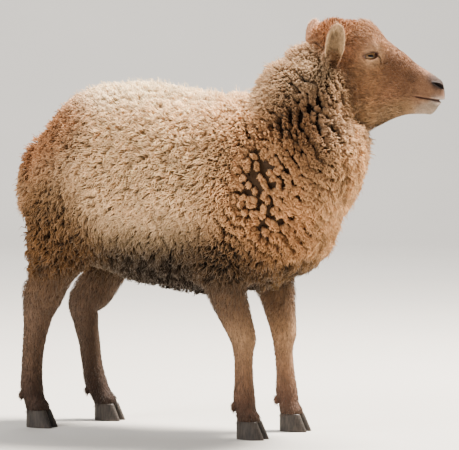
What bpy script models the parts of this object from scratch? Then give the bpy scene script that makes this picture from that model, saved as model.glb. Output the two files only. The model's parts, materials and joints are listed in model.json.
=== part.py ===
"""A polled Soay ewe standing with her head raised and turned to her left, at life size.

Metres, +Z up, +X towards the breast, +Y to her left. The floor is at Z 0 under the hooves.
The body is modelled whole, in the maker's frame, and then parted with thin cuts.
"""

import math

import bpy
import numpy as np
from mathutils import Matrix, Vector

# The centre of the whole model's footprint in the maker's frame becomes the origin.
ROW_ORIGIN = (0.0597, 0.0102)
# Thin cut between neighbouring parts.
GAP = 0.0003

# Torso over the tips of the fleece: blunt rounded ends on a level axis.
TORSO_REAR_X = -0.276
TORSO_FRONT_X = 0.295
TORSO_AXIS_Z = 0.420
TORSO_BLUNTNESS = 3.4
TORSO_SQUARENESS = 2.25
# Along X: height above the axis, depth below it and half width.
TORSO_SIZES = (
    (-0.276, 0.150, 0.130, 0.128),
    (-0.200, 0.179, 0.152, 0.142),
    (-0.100, 0.184, 0.172, 0.146),
    (-0.040, 0.180, 0.177, 0.148),
    (0.020, 0.170, 0.186, 0.149),
    (0.080, 0.163, 0.193, 0.145),
    (0.150, 0.165, 0.193, 0.138),
    (0.220, 0.164, 0.187, 0.131),
    (0.295, 0.155, 0.184, 0.122),
)
BODY_FLEECE = 0.040

# Neck over the fleece: centre, half depth from nape to throat and half width.
NECK_SIZES = (
    (0.160, 0.000, 0.395, 0.122, 0.108),
    (0.214, 0.000, 0.475, 0.130, 0.113),
    (0.234, 0.020, 0.555, 0.103, 0.093),
    (0.251, 0.036, 0.612, 0.089, 0.078),
    (0.245, 0.030, 0.652, 0.060, 0.054),
)
NECK_FLEECE = 0.038

# Head in its own frame: x along the face from the ear line, y left, z towards the crown.
HEAD_ORIGIN = (0.2666, 0.040, 0.609)
HEAD_YAW = math.radians(37)
HEAD_PITCH = math.radians(12)
HEAD_ROLL = math.radians(5)
HEAD_REAR_X = -0.045
HEAD_REAR_ROUND = 0.030
MUZZLE_FRONT_X = 0.199
MUZZLE_ROUND = 0.016
MUZZLE_HALF_WIDTH = 0.0245
# Along the face: top line, lower line, height of the widest place, half width there.
HEAD_SIZES = (
    (-0.045, 0.080, -0.050, 0.022, 0.040),
    (-0.015, 0.083, -0.066, 0.026, 0.043),
    (0.010, 0.088, -0.078, 0.032, 0.044),
    (0.028, 0.092, -0.084, 0.038, 0.046),
    (0.044, 0.093, -0.085, 0.042, 0.047),
    (0.060, 0.088, -0.084, 0.039, 0.044),
    (0.076, 0.078, -0.078, 0.030, 0.039),
    (0.096, 0.068, -0.064, 0.020, 0.033),
    (0.116, 0.060, -0.051, 0.013, 0.028),
    (0.140, 0.049, -0.038, 0.008, 0.0250),
    (0.167, 0.040, -0.031, 0.005, 0.0238),
    (0.184, 0.033, -0.027, 0.004, 0.0228),
    (0.199, 0.024, -0.022, 0.003, 0.0200),
)
# Swellings and hollows of the face: place, reach and height, the same on both sides.
FACE_FORMS = (
    ((0.046, 0.046, 0.061), 0.015, 0.0050),
    ((0.016, 0.040, 0.062), 0.015, -0.0030),
    ((0.030, 0.038, -0.020), 0.028, 0.0030),
    ((0.084, 0.034, 0.028), 0.016, -0.0022),
    ((0.184, 0.012, 0.024), 0.008, 0.0020),
    ((0.176, 0.020, 0.004), 0.010, 0.0018),
    ((0.178, 0.016, -0.014), 0.009, 0.0016),
)

# Eyeball, the lids over it and the almond opening between them.
EYE_CENTRE = (0.0415, 0.0365, 0.0445)
EYE_RADIUS = 0.0138
LID_THICKNESS = 0.0019
EYE_GAZE = (0.22, 0.97, 0.08)
EYE_TILT = math.radians(20)
LID_OPENING_LENGTH = 0.0265
LID_OPENING_HEIGHT = 0.0140
LID_RIM = 0.0020
LID_RIM_SPREAD = 1.10

# Line of the mouth: a horseshoe groove between the lips, a little open in front.
MOUTH_CORNER_X = 0.143
MOUTH_Z = -0.0045
MOUTH_RISE = 0.003
MOUTH_GROOVE = 0.0016
MOUTH_PARTING = 0.0026
LIP_DEPTH = 0.006

NOSTRIL_CENTRE = (0.1790, 0.0212, 0.0230)
NOSTRIL_SIZE = (0.0100, 0.0050, 0.0026)
NOSTRIL_SLOPE = math.radians(-12)

# Ears: cups that open outwards, from a narrow tube at the root to a rounded tip.
EAR_ROOT = (-0.0215, 0.036, 0.018)
EAR_LEAN = (-0.14, 0.525, 0.825)
EAR_OPENING = (0.25, 0.85, -0.50)
EAR_LENGTH = 0.081
EAR_HALF_WIDTH = 0.0170
EAR_THICKNESS = 0.0034
# Share of its full width that an ear has at the root, where its round tip begins, and how far round its
# cup curls at the root and opens towards the tip, in radians.
EAR_ROOT_SHARE = 0.62
EAR_TIP_SHARE = 0.60
EAR_ROOT_CURL = 1.9
EAR_CURL_OPENS = 1.0

# Legs from top to bottom: x, z, half depth in front and behind, half width, y, fleece depth.
FORELEG_SIZES = (
    (0.130, 0.420, 0.070, 0.070, 0.042, 0.085, 0.040),
    (0.120, 0.340, 0.062, 0.060, 0.043, 0.088, 0.034),
    (0.118, 0.285, 0.044, 0.042, 0.037, 0.083, 0.018),
    (0.127, 0.236, 0.0300, 0.0310, 0.0285, 0.075, 0.004),
    (0.1375, 0.205, 0.0245, 0.0262, 0.0240, 0.070, 0.000),
    (0.1460, 0.180, 0.0220, 0.0225, 0.0215, 0.067, 0.000),
    (0.1490, 0.168, 0.0212, 0.0205, 0.0208, 0.066, 0.000),
    (0.1497, 0.145, 0.0158, 0.0165, 0.0160, 0.065, 0.000),
    (0.1505, 0.100, 0.0150, 0.0154, 0.0145, 0.065, 0.000),
    (0.1520, 0.066, 0.0168, 0.0182, 0.0175, 0.065, 0.000),
    (0.1550, 0.046, 0.0160, 0.0172, 0.0170, 0.065, 0.000),
    (0.1600, 0.0305, 0.0185, 0.0190, 0.0200, 0.065, 0.000),
)
HINDLEG_SIZES = (
    (-0.150, 0.450, 0.085, 0.085, 0.050, 0.082, 0.040),
    (-0.172, 0.370, 0.090, 0.085, 0.058, 0.086, 0.040),
    (-0.190, 0.310, 0.066, 0.060, 0.050, 0.086, 0.034),
    (-0.211, 0.258, 0.040, 0.039, 0.038, 0.081, 0.018),
    (-0.2270, 0.228, 0.0350, 0.0385, 0.0285, 0.076, 0.006),
    (-0.2360, 0.206, 0.0265, 0.0310, 0.0225, 0.072, 0.000),
    (-0.2430, 0.178, 0.0215, 0.0235, 0.0192, 0.070, 0.000),
    (-0.2500, 0.140, 0.0185, 0.0190, 0.0165, 0.070, 0.000),
    (-0.2535, 0.095, 0.0178, 0.0182, 0.0158, 0.070, 0.000),
    (-0.2525, 0.066, 0.0180, 0.0195, 0.0182, 0.070, 0.000),
    (-0.2470, 0.046, 0.0165, 0.0175, 0.0172, 0.070, 0.000),
    (-0.2400, 0.0305, 0.0185, 0.0190, 0.0202, 0.070, 0.000),
)
# How far each left leg stands ahead of the right one, at heights from the floor up.
STRIDES = {
    "foreleg_right": ((0.0, 0.0), (0.1, 0.0)),
    "foreleg_left": ((0.050, 0.022), (0.160, 0.016), (0.230, 0.024), (0.330, 0.0)),
    "hindleg_right": ((0.0, 0.0), (0.1, 0.0)),
    "hindleg_left": ((0.030, 0.060), (0.140, 0.035), (0.205, 0.012), (0.240, 0.024), (0.380, 0.0)),
}
DEWCLAW_RADIUS = 0.0055

HOOF_HEIGHT = 0.0302
HOOF_LENGTH = 0.050
HOOF_TOP_LENGTH = 0.036
CLAW_WIDTH = 0.0190
CLAW_TOP_WIDTH = 0.0178
CLEFT = 0.0030
HOOF_REACH = 0.007

# Tail over its wool: x, z and radius, hanging behind the rump.
TAIL_SIZES = (
    (-0.236, 0.500, 0.016),
    (-0.268, 0.478, 0.021),
    (-0.283, 0.440, 0.024),
    (-0.289, 0.405, 0.024),
    (-0.287, 0.372, 0.016),
)
TAIL_FLEECE = 0.012

# Rounded clumps of wool: half length, half width and half thickness, in three sizes.
CLUMP_SIZES = (
    (0.044, 0.033, 0.025),
    (0.040, 0.031, 0.024),
    (0.036, 0.029, 0.023),
)
CLUMP_SIDES = 6
CLUMP_RINGS = 3
CLUMP_COUNT = 160
CLUMP_TILT = math.radians(14)
CLUMP_VARIATION = 0.10
CLUMP_HEIGHT = 0.0225
CLUMP_SEED = 5
SCATTER_TRIALS = 6000
# Share of the fused fleece's faces that stays once its slivers are merged.
KEPT_FACES = 0.66
# Below these heights the legs carry short hair alone.
FORELEG_WOOL_Z = 0.262
THIGH_WOOL_Z = 0.236
THIGH_WOOL_FULL_Z = 0.320
THIGH_WOOL_THIN = 0.35
# The tuft on the poll: middle, reach along and across the head, clump size and spacing.
POLL_CENTRE = (0.000, 0.0, 0.088)
POLL_REACH = (0.042, 0.034)
POLL_CLUMP = (0.0150, 0.0125, 0.0100)
POLL_HEIGHT = 0.0085
POLL_COUNT = 12
TAIL_CLUMP = (0.024, 0.016, 0.012)
TAIL_COUNT = 9

TAIL_HANG = (-0.15, 0.0, -1.0)
TAIL_CLUMPS_Z = (0.35, 0.50)
TAIL_HALF_WIDTH = 0.034
# Which way the clumps lie on the flank, the back and the neck, and where one way passes into another.
FLANK_LIE = (-0.50, 0.0, -0.87)
BACK_LIE = (-1.0, 0.0, -0.15)
NECK_LIE = (0.30, 0.0, -0.95)
POLL_LIE = (1.0, 0.0, 0.1)
BACK_FROM_Z = (0.46, 0.56)
NECK_FROM_X = (0.06, 0.20)
# How far ahead of and beside the middle line of the mouth the plate that cuts it reaches.
MOUTH_PLATE = (0.075, 0.050)
# Height of the dewclaws, how far they stand apart and how much longer than wide they are.
DEWCLAW_Z = 0.058
DEWCLAW_APART = 0.0085
DEWCLAW_SHAPE = (0.95, 0.95, 1.45)

# Where the parting cuts run.
EAR_CUT_POINT = (-0.0235, 0.0465, 0.048)
EAR_CUT_NORMAL = (-0.10, 0.85, 0.50)
HEAD_CUT_POINT = (-0.026, 0.0, 0.030)
HEAD_CUT_NORMAL = (0.786, 0.0, 0.618)
NECK_CUT_POINT = (0.200, 0.0, 0.490)
NECK_CUT_NORMAL = (0.60, 0.0, 0.80)
FORELEG_CUT_Z = 0.238
SHANK_CUT_Z = 0.236
THIGH_CUT = ((-0.085, 0.262), (-0.450, 0.500))
TAIL_CUT_X = -0.268


def smooth(at, knots, values):
    """Values read at the given places from a smooth curve through the knots (Hermite pieces)."""
    at = np.asarray(at, float)
    knots = np.asarray(knots, float)
    values = np.asarray(values, float)
    slopes = np.gradient(values, knots, axis=0)
    i = np.clip(np.searchsorted(knots, at, side="right") - 1, 0, len(knots) - 2)
    step = knots[i + 1] - knots[i]
    u = (at - knots[i]) / step
    shape = (-1,) + (1,) * (values.ndim - 1)
    u, step = u.reshape(shape), step.reshape(shape)
    rest = 1 - u
    return (
        values[i] * rest * rest * (1 + 2 * u)
        + values[i + 1] * u * u * (3 - 2 * u)
        + step * u * rest * (slopes[i] * rest - slopes[i + 1] * u)
    )


def power(value, exponent):
    """The value's size raised to a power, keeping its sign."""
    return np.sign(value) * np.abs(value) ** exponent


def unit(vectors):
    """The vectors at length one."""
    vectors = np.asarray(vectors, float)
    return vectors / np.linalg.norm(vectors, axis=-1, keepdims=True)


def ease(value, low, high):
    """0 below low, 1 above high and a smooth step between."""
    u = np.clip((np.asarray(value, float) - low) / (high - low), 0, 1)
    return u * u * (3 - 2 * u)


def chord_steps(points):
    """Distance run along a line of points, from its first point."""
    return np.concatenate([[0], np.cumsum(np.linalg.norm(np.diff(points, axis=0), axis=1))])


def new_mesh_object(name, points, faces):
    mesh = bpy.data.meshes.new(name)
    mesh.from_pydata([tuple(p) for p in points], [], [tuple(f) for f in faces])
    mesh.update()
    made = bpy.data.objects.new(name, mesh)
    bpy.context.scene.collection.objects.link(made)
    return made


def tube(name, rings):
    """A closed body from rings of points, one ring a row, each end capped by a fan to its middle."""
    rows, sides = rings.shape[:2]
    faces = []
    for row in range(rows - 1):
        for side in range(sides):
            a = row * sides + side
            b = row * sides + (side + 1) % sides
            faces += [(a, b, b + sides), (a, b + sides, a + sides)]
    points = np.concatenate([rings.reshape(-1, 3), rings[0].mean(0)[None], rings[-1].mean(0)[None]])
    low, high = len(points) - 2, len(points) - 1
    last = (rows - 1) * sides
    for side in range(sides):
        after = (side + 1) % sides
        faces.append((low, after, side))
        faces.append((high, last + side, last + after))
    made = new_mesh_object(name, points, faces)
    turn_outwards(made)
    return made


def turn_outwards(made):
    """Flips every face of a closed body if its enclosed volume comes out negative."""
    mesh = made.data
    mesh.calc_loop_triangles()
    corners = np.array([[mesh.vertices[i].co for i in t.vertices] for t in mesh.loop_triangles])
    if np.linalg.det(corners).sum() < 0:
        mesh.flip_normals()


def boolean(base, others, operation):
    """Joins, cuts or keeps the common part with other closed bodies, applies it and removes them."""
    helpers = bpy.data.collections.new("helpers")
    for other in others:
        helpers.objects.link(other)
        bpy.context.scene.collection.objects.unlink(other)
    bpy.context.scene.collection.children.link(helpers)
    modifier = base.modifiers.new(operation, "BOOLEAN")
    modifier.operation = operation
    modifier.solver = "MANIFOLD"
    modifier.operand_type = "COLLECTION"
    modifier.collection = helpers
    graph = bpy.context.evaluated_depsgraph_get()
    result = bpy.data.meshes.new_from_object(base.evaluated_get(graph))
    base.modifiers.clear()
    base.data = result
    for other in list(helpers.objects):
        bpy.data.objects.remove(other)
    bpy.data.collections.remove(helpers)
    return base


def drop_short_edges(made, share):
    """Keeps a share of a body's faces, merging the smallest slivers that the union leaves."""
    modifier = made.modifiers.new("slivers", "DECIMATE")
    modifier.ratio = share
    graph = bpy.context.evaluated_depsgraph_get()
    result = bpy.data.meshes.new_from_object(made.evaluated_get(graph))
    made.modifiers.clear()
    made.data = result
    return made


def copy_of(source, name):
    made = bpy.data.objects.new(name, source.data.copy())
    bpy.context.scene.collection.objects.link(made)
    return made


def keep_largest(made):
    """Keeps the largest closed surface of a body and drops loose scraps and sealed hollows."""
    mesh = made.data
    count = len(mesh.vertices)
    edges = np.empty(len(mesh.edges) * 2, np.int64)
    mesh.edges.foreach_get("vertices", edges)
    edges = edges.reshape(-1, 2)
    label = np.arange(count)
    while True:
        low = np.minimum(label[edges[:, 0]], label[edges[:, 1]])
        before = label.copy()
        np.minimum.at(label, edges[:, 0], low)
        np.minimum.at(label, edges[:, 1], low)
        label = label[label]
        if (label == before).all():
            break
    points = np.empty(count * 3)
    mesh.vertices.foreach_get("co", points)
    points = points.reshape(-1, 3)
    spans = {k: np.prod(np.ptp(points[label == k], axis=0)) for k in np.unique(label)}
    best = max(spans, key=spans.get)
    faces = [tuple(p.vertices) for p in mesh.polygons if label[p.vertices[0]] == best]
    index = np.full(count, -1)
    kept = np.flatnonzero(label == best)
    index[kept] = np.arange(len(kept))
    clean = bpy.data.meshes.new(made.name)
    clean.from_pydata([tuple(p) for p in points[kept]], [], [tuple(index[list(f)]) for f in faces])
    clean.update()
    made.data = clean
    return made


def section(centre, side, up, down, squareness, sides):
    """A closed ring round a centre: a superellipse with its own reach to the side, up and down."""
    angle = np.linspace(0, 2 * math.pi, sides, endpoint=False)
    across = power(np.sin(angle), 2 / squareness)[:, None]
    along = power(np.cos(angle), 2 / squareness)[:, None]
    return centre + side * across + np.where(along > 0, up, down) * np.abs(along)


def torso(shrink, rows, sides):
    """The barrel of the body: superellipse sections along X, with blunt rounded ends."""
    middle = (TORSO_REAR_X + TORSO_FRONT_X) / 2
    half = (TORSO_FRONT_X - TORSO_REAR_X) / 2
    turn = np.linspace(math.radians(12), math.radians(168), rows)
    share = -np.cos(turn) / math.cos(turn[0])
    taper = np.maximum(1 - np.abs(share * 0.992) ** TORSO_BLUNTNESS, 0) ** (1 / TORSO_BLUNTNESS)
    at = middle + half * share
    table = np.array(TORSO_SIZES)
    above, below, wide = smooth(at, table[:, 0], table[:, 1:]).T
    rings = []
    for k in range(rows):
        centre = np.array((middle + (half - shrink) * share[k], 0, TORSO_AXIS_Z))
        reach = np.maximum(np.array((wide[k], above[k], below[k])) * taper[k] - shrink, 0.004)
        rings.append(
            section(
                centre,
                np.array((0, reach[0], 0)),
                np.array((0, 0, reach[1])),
                np.array((0, 0, -reach[2])),
                TORSO_SQUARENESS,
                sides,
            )
        )
    return np.array(rings)


def neck(shrink, rows, sides):
    """The neck: round sections square to a bent centre line."""
    table = np.array(NECK_SIZES)
    knots = chord_steps(table[:, :3])
    at = np.linspace(0, knots[-1], rows)
    values = smooth(at, knots, table)
    path = values[:, :3]
    tangent = unit(np.gradient(path, axis=0))
    turned = HEAD_YAW * 0.8 * ease(at, 0.05, knots[-1])
    sideways = np.stack([-np.sin(turned), np.cos(turned), np.zeros(rows)], axis=1)
    nape = unit(np.cross(tangent, sideways))
    rings = []
    for k in range(rows):
        deep, wide = values[k, 3] - shrink, values[k, 4] - shrink
        rings.append(
            section(path[k], sideways[k] * wide, nape[k] * deep, -nape[k] * deep, 2.1, sides)
        )
    return np.array(rings)


def leg_values(sizes, stride, side_sign, rows):
    """Centre line and sizes of a leg at rows from top to bottom, swung to its stride."""
    table = np.array(sizes)
    heights, shifts = np.array(stride).T
    table[:, 0] += np.interp(table[:, 1], heights, shifts)
    knots = chord_steps(table[:, :2])
    values = smooth(rows * knots[-1], knots, table)
    path = np.stack([values[:, 0], side_sign * values[:, 5], values[:, 1]], axis=1)
    return path, values


def leg(name, shrink, rows, sides):
    """A leg: sections square to its centre line, deeper behind the hock and in front of the knee."""
    sizes = FORELEG_SIZES if name.startswith("fore") else HINDLEG_SIZES
    side_sign = 1 if name.endswith("left") else -1
    path, values = leg_values(sizes, STRIDES[name], side_sign, np.linspace(0, 1, rows))
    tangent = unit(np.gradient(path, axis=0))
    # The last ring is level, so that the leg ends in a flat face over the hoof.
    tangent[-1] = (0, 0, -1)
    across = np.array((0.0, 1.0, 0.0))
    ahead = unit(np.cross(tangent, across))
    rings = []
    for k in range(rows):
        thin = shrink * values[k, 6]
        rings.append(
            section(
                path[k],
                across * (values[k, 4] - thin),
                ahead[k] * (values[k, 2] - thin),
                -ahead[k] * (values[k, 3] - thin),
                2.15,
                sides,
            )
        )
    return np.array(rings)


def tail(shrink, rows, sides):
    """The short tail: round sections along a line that hangs from the rump."""
    table = np.array(TAIL_SIZES)
    knots = chord_steps(table[:, :2])
    values = smooth(np.linspace(0, knots[-1], rows), knots, table)
    path = np.stack([values[:, 0], np.zeros(rows), values[:, 1]], axis=1)
    tangent = unit(np.gradient(path, axis=0))
    across = np.array((0.0, 1.0, 0.0))
    behind = unit(np.cross(across, tangent))
    rings = []
    for k in range(rows):
        reach = values[k, 2] - shrink
        rings.append(section(path[k], across * reach, behind[k] * reach, -behind[k] * reach, 2, sides))
    return np.array(rings)


def head_surface(along, angle):
    """Points of the head in its own frame. along runs down the face and angle round it from the crown.

    Each section is a superellipse, squarer above its widest place and more pointed below it, and the
    ends round off as quarter ellipses. The face forms are added as bell-shaped rises, pushed outwards.
    """
    table = np.array(HEAD_SIZES)
    top, bottom, widest, half = smooth(along.ravel(), table[:, 0], table[:, 1:]).T
    shape = along.shape
    top, bottom, widest, half = (v.reshape(shape) for v in (top, bottom, widest, half))
    front = np.clip((along - (MUZZLE_FRONT_X - MUZZLE_ROUND)) / MUZZLE_ROUND, 0, 1)
    rear = np.clip((HEAD_REAR_X + HEAD_REAR_ROUND - along) / HEAD_REAR_ROUND, 0, 1)
    taper = np.sqrt(np.clip(1 - front**2, 0, 1)) * np.sqrt(np.clip(1 - rear**2, 0, 1))
    sine, cosine = np.sin(angle), np.cos(angle)
    jaw = ease(along, 0.12, 0.03)
    square = np.where(cosine > 0, 2.3, 2.15 - 0.35 * jaw)
    across = power(sine, 2 / square) * half * taper
    reach = np.where(cosine > 0, top - widest, widest - bottom)
    high = widest + power(cosine, 2 / square) * reach * taper
    points = np.stack([along, across, high], axis=-1)
    middle = np.stack([along, np.zeros(shape), widest], axis=-1)
    outwards = points - middle
    outwards /= np.maximum(np.linalg.norm(outwards, axis=-1, keepdims=True), 1e-6)
    for place, reach, rise in FACE_FORMS:
        mirrored = np.stack([points[..., 0], np.abs(points[..., 1]), points[..., 2]], axis=-1)
        distance = np.linalg.norm(mirrored - np.array(place), axis=-1)
        points = points + outwards * (rise * np.exp(-((distance / reach) ** 2)))[..., None]
    return points


def head_frame():
    """Carries the head's own frame into the body's."""
    turn = (
        Matrix.Rotation(HEAD_YAW, 4, "Z")
        @ Matrix.Rotation(HEAD_PITCH, 4, "Y")
        @ Matrix.Rotation(HEAD_ROLL, 4, "X")
    )
    return Matrix.Translation(HEAD_ORIGIN) @ turn


def ellipsoid(name, centre, axes, segments, rows):
    """A closed ellipsoid whose three half axes are given as vectors, the last one through its poles."""
    turn = np.linspace(0, 2 * math.pi, segments, endpoint=False)
    down = np.linspace(0, math.pi, rows + 2)[1:-1]
    axes = np.asarray(axes, float)
    ring = np.cos(turn)[:, None] * axes[0] + np.sin(turn)[:, None] * axes[1]
    points = [centre + axes[2]]
    for angle in down:
        points += list(centre + ring * math.sin(angle) + axes[2] * math.cos(angle))
    points.append(centre - axes[2])
    faces = []
    last = len(points) - 1
    for k in range(segments):
        after = (k + 1) % segments
        faces.append((0, 1 + k, 1 + after))
        faces.append((last, last - segments + after, last - segments + k))
        for row in range(rows - 1):
            a, b = 1 + row * segments + k, 1 + row * segments + after
            faces += [(a, a + segments, b + segments), (a, b + segments, b)]
    made = new_mesh_object(name, points, faces)
    turn_outwards(made)
    return made


def ear_points(side_sign, rows, columns):
    """An ear as a curled leaf that swells, closes to a round tip and opens upwards."""
    lean = unit(np.array(EAR_LEAN) * (1, side_sign, 1))
    opening = np.array(EAR_OPENING) * (1, side_sign, 1)
    opening = unit(opening - lean * (opening @ lean))
    across = np.cross(lean, opening)
    share = np.sin(np.linspace(0, math.pi / 2, rows)) ** 0.85
    tip = np.clip((share - EAR_TIP_SHARE) / (1.005 - EAR_TIP_SHARE), 0, 1)
    swell = EAR_ROOT_SHARE + (1 - EAR_ROOT_SHARE) * ease(share, 0, 0.5)
    half = EAR_HALF_WIDTH * swell * np.sqrt(1 - tip**2.4)
    curl = EAR_ROOT_CURL - EAR_CURL_OPENS * ease(share, 0.0, 0.9)
    radius = half / np.sin(np.minimum(curl, math.pi / 2))
    sweep = np.linspace(-1, 1, columns)
    turn = curl[:, None] * sweep[None]
    spine = np.array(EAR_ROOT) * (1, side_sign, 1) + share[:, None] * EAR_LENGTH * lean
    layers = []
    for depth in (0, EAR_THICKNESS):
        reach = (radius - depth)[:, None]
        sideways = (reach * np.sin(turn))[..., None] * across
        inwards = (radius[:, None] - reach * np.cos(turn))[..., None] * opening
        layers.append(spine[:, None] + sideways + inwards)
    return np.concatenate([layers[0], layers[1][:, ::-1]], axis=1)


def almond_frame(side_sign):
    """Centre of the eye, the way it looks, and the directions along and across its opening."""
    gaze = unit(np.array(EYE_GAZE) * (1, side_sign, 1))
    ahead = np.array((math.cos(EYE_TILT), 0, math.sin(EYE_TILT)))
    ahead = unit(ahead - gaze * (ahead @ gaze))
    upwards = np.cross(ahead, gaze) * -side_sign
    centre = np.array(EYE_CENTRE) * (1, side_sign, 1)
    return centre, gaze, ahead, upwards


def almond_outline(side_sign, steps):
    """Offsets from the eye's centre round its opening, which narrows to both corners."""
    _, _, ahead, upwards = almond_frame(side_sign)
    turn = np.linspace(0, 2 * math.pi, steps, endpoint=False)
    across = np.cos(turn)[:, None] * ahead * LID_OPENING_LENGTH / 2
    high = power(np.sin(turn), 1.25)[:, None] * upwards * LID_OPENING_HEIGHT / 2
    return across + high


def lid_rim(side_sign):
    """The raised edges of both lids: a thin roll round the opening, lying on the eyeball."""
    centre, gaze, _, _ = almond_frame(side_sign)
    offsets = almond_outline(side_sign, 14) * LID_RIM_SPREAD
    depth = np.sqrt(np.maximum((EYE_RADIUS + LID_THICKNESS) ** 2 - np.sum(offsets**2, axis=1), 0))
    path = centre + offsets + gaze * depth[:, None]
    tangent = unit(np.roll(path, -1, axis=0) - np.roll(path, 1, axis=0))
    side = unit(np.cross(tangent, gaze))
    turn = np.linspace(0, 2 * math.pi, 5, endpoint=False)
    roll = np.cos(turn)[None, :, None] * side[:, None] + np.sin(turn)[None, :, None] * gaze
    points = (path[:, None] + roll * LID_RIM).reshape(-1, 3)
    faces = []
    for k in range(14):
        for i in range(5):
            a = k * 5 + i
            b = k * 5 + (i + 1) % 5
            c = (k + 1) % 14 * 5 + (i + 1) % 5
            d = (k + 1) % 14 * 5 + i
            faces += [(a, b, c), (a, c, d)]
    made = new_mesh_object("lid_rim", points, faces)
    turn_outwards(made)
    return made


def almond(side_sign):
    """A lens-shaped plug, longer than it is high, that opens the lids over the eye."""
    centre, gaze, _, _ = almond_frame(side_sign)
    outline = almond_outline(side_sign, 12)
    return tube("eye_opening", np.array([centre + gaze * reach + outline for reach in (0.004, 0.024)]))


def mouth_groove():
    """A horseshoe plate that follows the lips, thicker in front where they part."""
    turn = np.linspace(-math.pi / 2, math.pi / 2, 13)
    rings = []
    inner_reach = MUZZLE_FRONT_X - MOUTH_CORNER_X - LIP_DEPTH * 1.8
    inner_half = MUZZLE_HALF_WIDTH - LIP_DEPTH
    plate_reach, plate_half = MOUTH_PLATE
    for angle in turn:
        front = math.cos(angle)
        inner = (MOUTH_CORNER_X + inner_reach * front, inner_half * math.sin(angle))
        outer = (MOUTH_CORNER_X + plate_reach * front, plate_half * math.sin(angle))
        high = MOUTH_Z + MOUTH_RISE * front
        half = (MOUTH_GROOVE + (MOUTH_PARTING - MOUTH_GROOVE) * ease(front, 0.5, 1)) / 2
        rings.append(
            [
                (*inner, high),
                (*outer, high + half * 1.6),
                (*outer, high - half * 1.6),
            ]
        )
    return tube("mouth_groove", np.array(rings))


def nostril(side_sign):
    """A slit-like hollow on the side of the nose."""
    slope = np.array((math.cos(NOSTRIL_SLOPE), 0, math.sin(NOSTRIL_SLOPE)))
    upwards = np.array((-math.sin(NOSTRIL_SLOPE), 0, math.cos(NOSTRIL_SLOPE)))
    axes = (slope * NOSTRIL_SIZE[0], upwards * NOSTRIL_SIZE[2], np.array((0, NOSTRIL_SIZE[1], 0)))
    centre = np.array(NOSTRIL_CENTRE) * (1, side_sign, 1)
    return ellipsoid("nostril", centre, axes, 8, 3)


def lie_of_wool(points):
    """Which way the wool lies: back along the spine, down and back on the flanks, down on the neck."""
    flank, back, neck_way = np.array(FLANK_LIE), np.array(BACK_LIE), np.array(NECK_LIE)
    high = ease(points[:, 2], *BACK_FROM_Z)[:, None] * (points[:, 0] < NECK_FROM_X[1])[:, None]
    ahead = ease(points[:, 0], *NECK_FROM_X)[:, None]
    return unit((flank * (1 - high) + back * high) * (1 - ahead) + neck_way * ahead)


def wool_height(points):
    """How far the clumps stand over the core at each point, and 0 where no fleece grows."""
    height = np.full(len(points), CLUMP_HEIGHT)
    thigh = (points[:, 0] < -0.10) & (points[:, 2] < THIGH_WOOL_FULL_Z)
    thin = THIGH_WOOL_THIN + (1 - THIGH_WOOL_THIN) * ease(points[:, 2], THIGH_WOOL_Z, THIGH_WOOL_FULL_Z)
    height = np.where(thigh, height * thin, height)
    bare = thigh & (points[:, 2] < THIGH_WOOL_Z)
    on_foreleg = (points[:, 0] > 0.06) & (np.abs(points[:, 1]) > 0.030) & (points[:, 2] < FORELEG_WOOL_Z)
    ahead_of_cut = (points - in_head(HEAD_CUT_POINT)) @ unit(head_direction(HEAD_CUT_NORMAL))
    on_tail = (points[:, 0] < TAIL_CUT_X) & (np.abs(points[:, 1]) < 0.036)
    return np.where(bare | on_foreleg | (ahead_of_cut > -0.004) | on_tail, 0, height)


def scattered(made, count, allowed, seed):
    """Points spread evenly over a body's surface, each as far as can be from the last ones, with normals."""
    mesh = made.data
    mesh.calc_loop_triangles()
    corners = np.array([t.vertices[:] for t in mesh.loop_triangles])
    points = np.array([v.co for v in mesh.vertices])
    normals = np.array([v.normal for v in mesh.vertices])
    a, b, c = points[corners[:, 0]], points[corners[:, 1]], points[corners[:, 2]]
    area = np.linalg.norm(np.cross(b - a, c - a), axis=1)
    draw = np.random.default_rng(seed)
    picked = draw.choice(len(corners), size=SCATTER_TRIALS, p=area / area.sum())
    share = draw.random((2, len(picked), 1))
    root = np.sqrt(share[0])
    weights = (1 - root, root * (1 - share[1]), root * share[1])
    spots = sum(w * points[corners[picked, k]] for k, w in enumerate(weights))
    facing = unit(sum(w * normals[corners[picked, k]] for k, w in enumerate(weights)))
    keep = allowed(spots) > 0
    spots, facing = spots[keep], facing[keep]
    chosen = [0]
    distance = np.linalg.norm(spots - spots[0], axis=1)
    while len(chosen) < count:
        chosen.append(int(np.argmax(distance)))
        distance = np.minimum(distance, np.linalg.norm(spots - spots[chosen[-1]], axis=1))
    return spots[chosen], facing[chosen]


def clump(name, spot, normal, lie, sizes, height):
    """One rounded clump: an ellipsoid sunk by half, with its long axis raised along the lie."""
    along = unit(lie - normal * (lie @ normal))
    raised = along * math.cos(CLUMP_TILT) + normal * math.sin(CLUMP_TILT)
    outwards = normal * math.cos(CLUMP_TILT) - along * math.sin(CLUMP_TILT)
    length, width, thick = sizes
    reach = math.hypot(thick * math.cos(CLUMP_TILT), length * math.sin(CLUMP_TILT))
    centre = spot + normal * (height - reach)
    axes = (np.cross(raised, outwards) * width, outwards * thick, raised * length)
    return ellipsoid(name, centre, axes, CLUMP_SIDES, CLUMP_RINGS)


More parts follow.
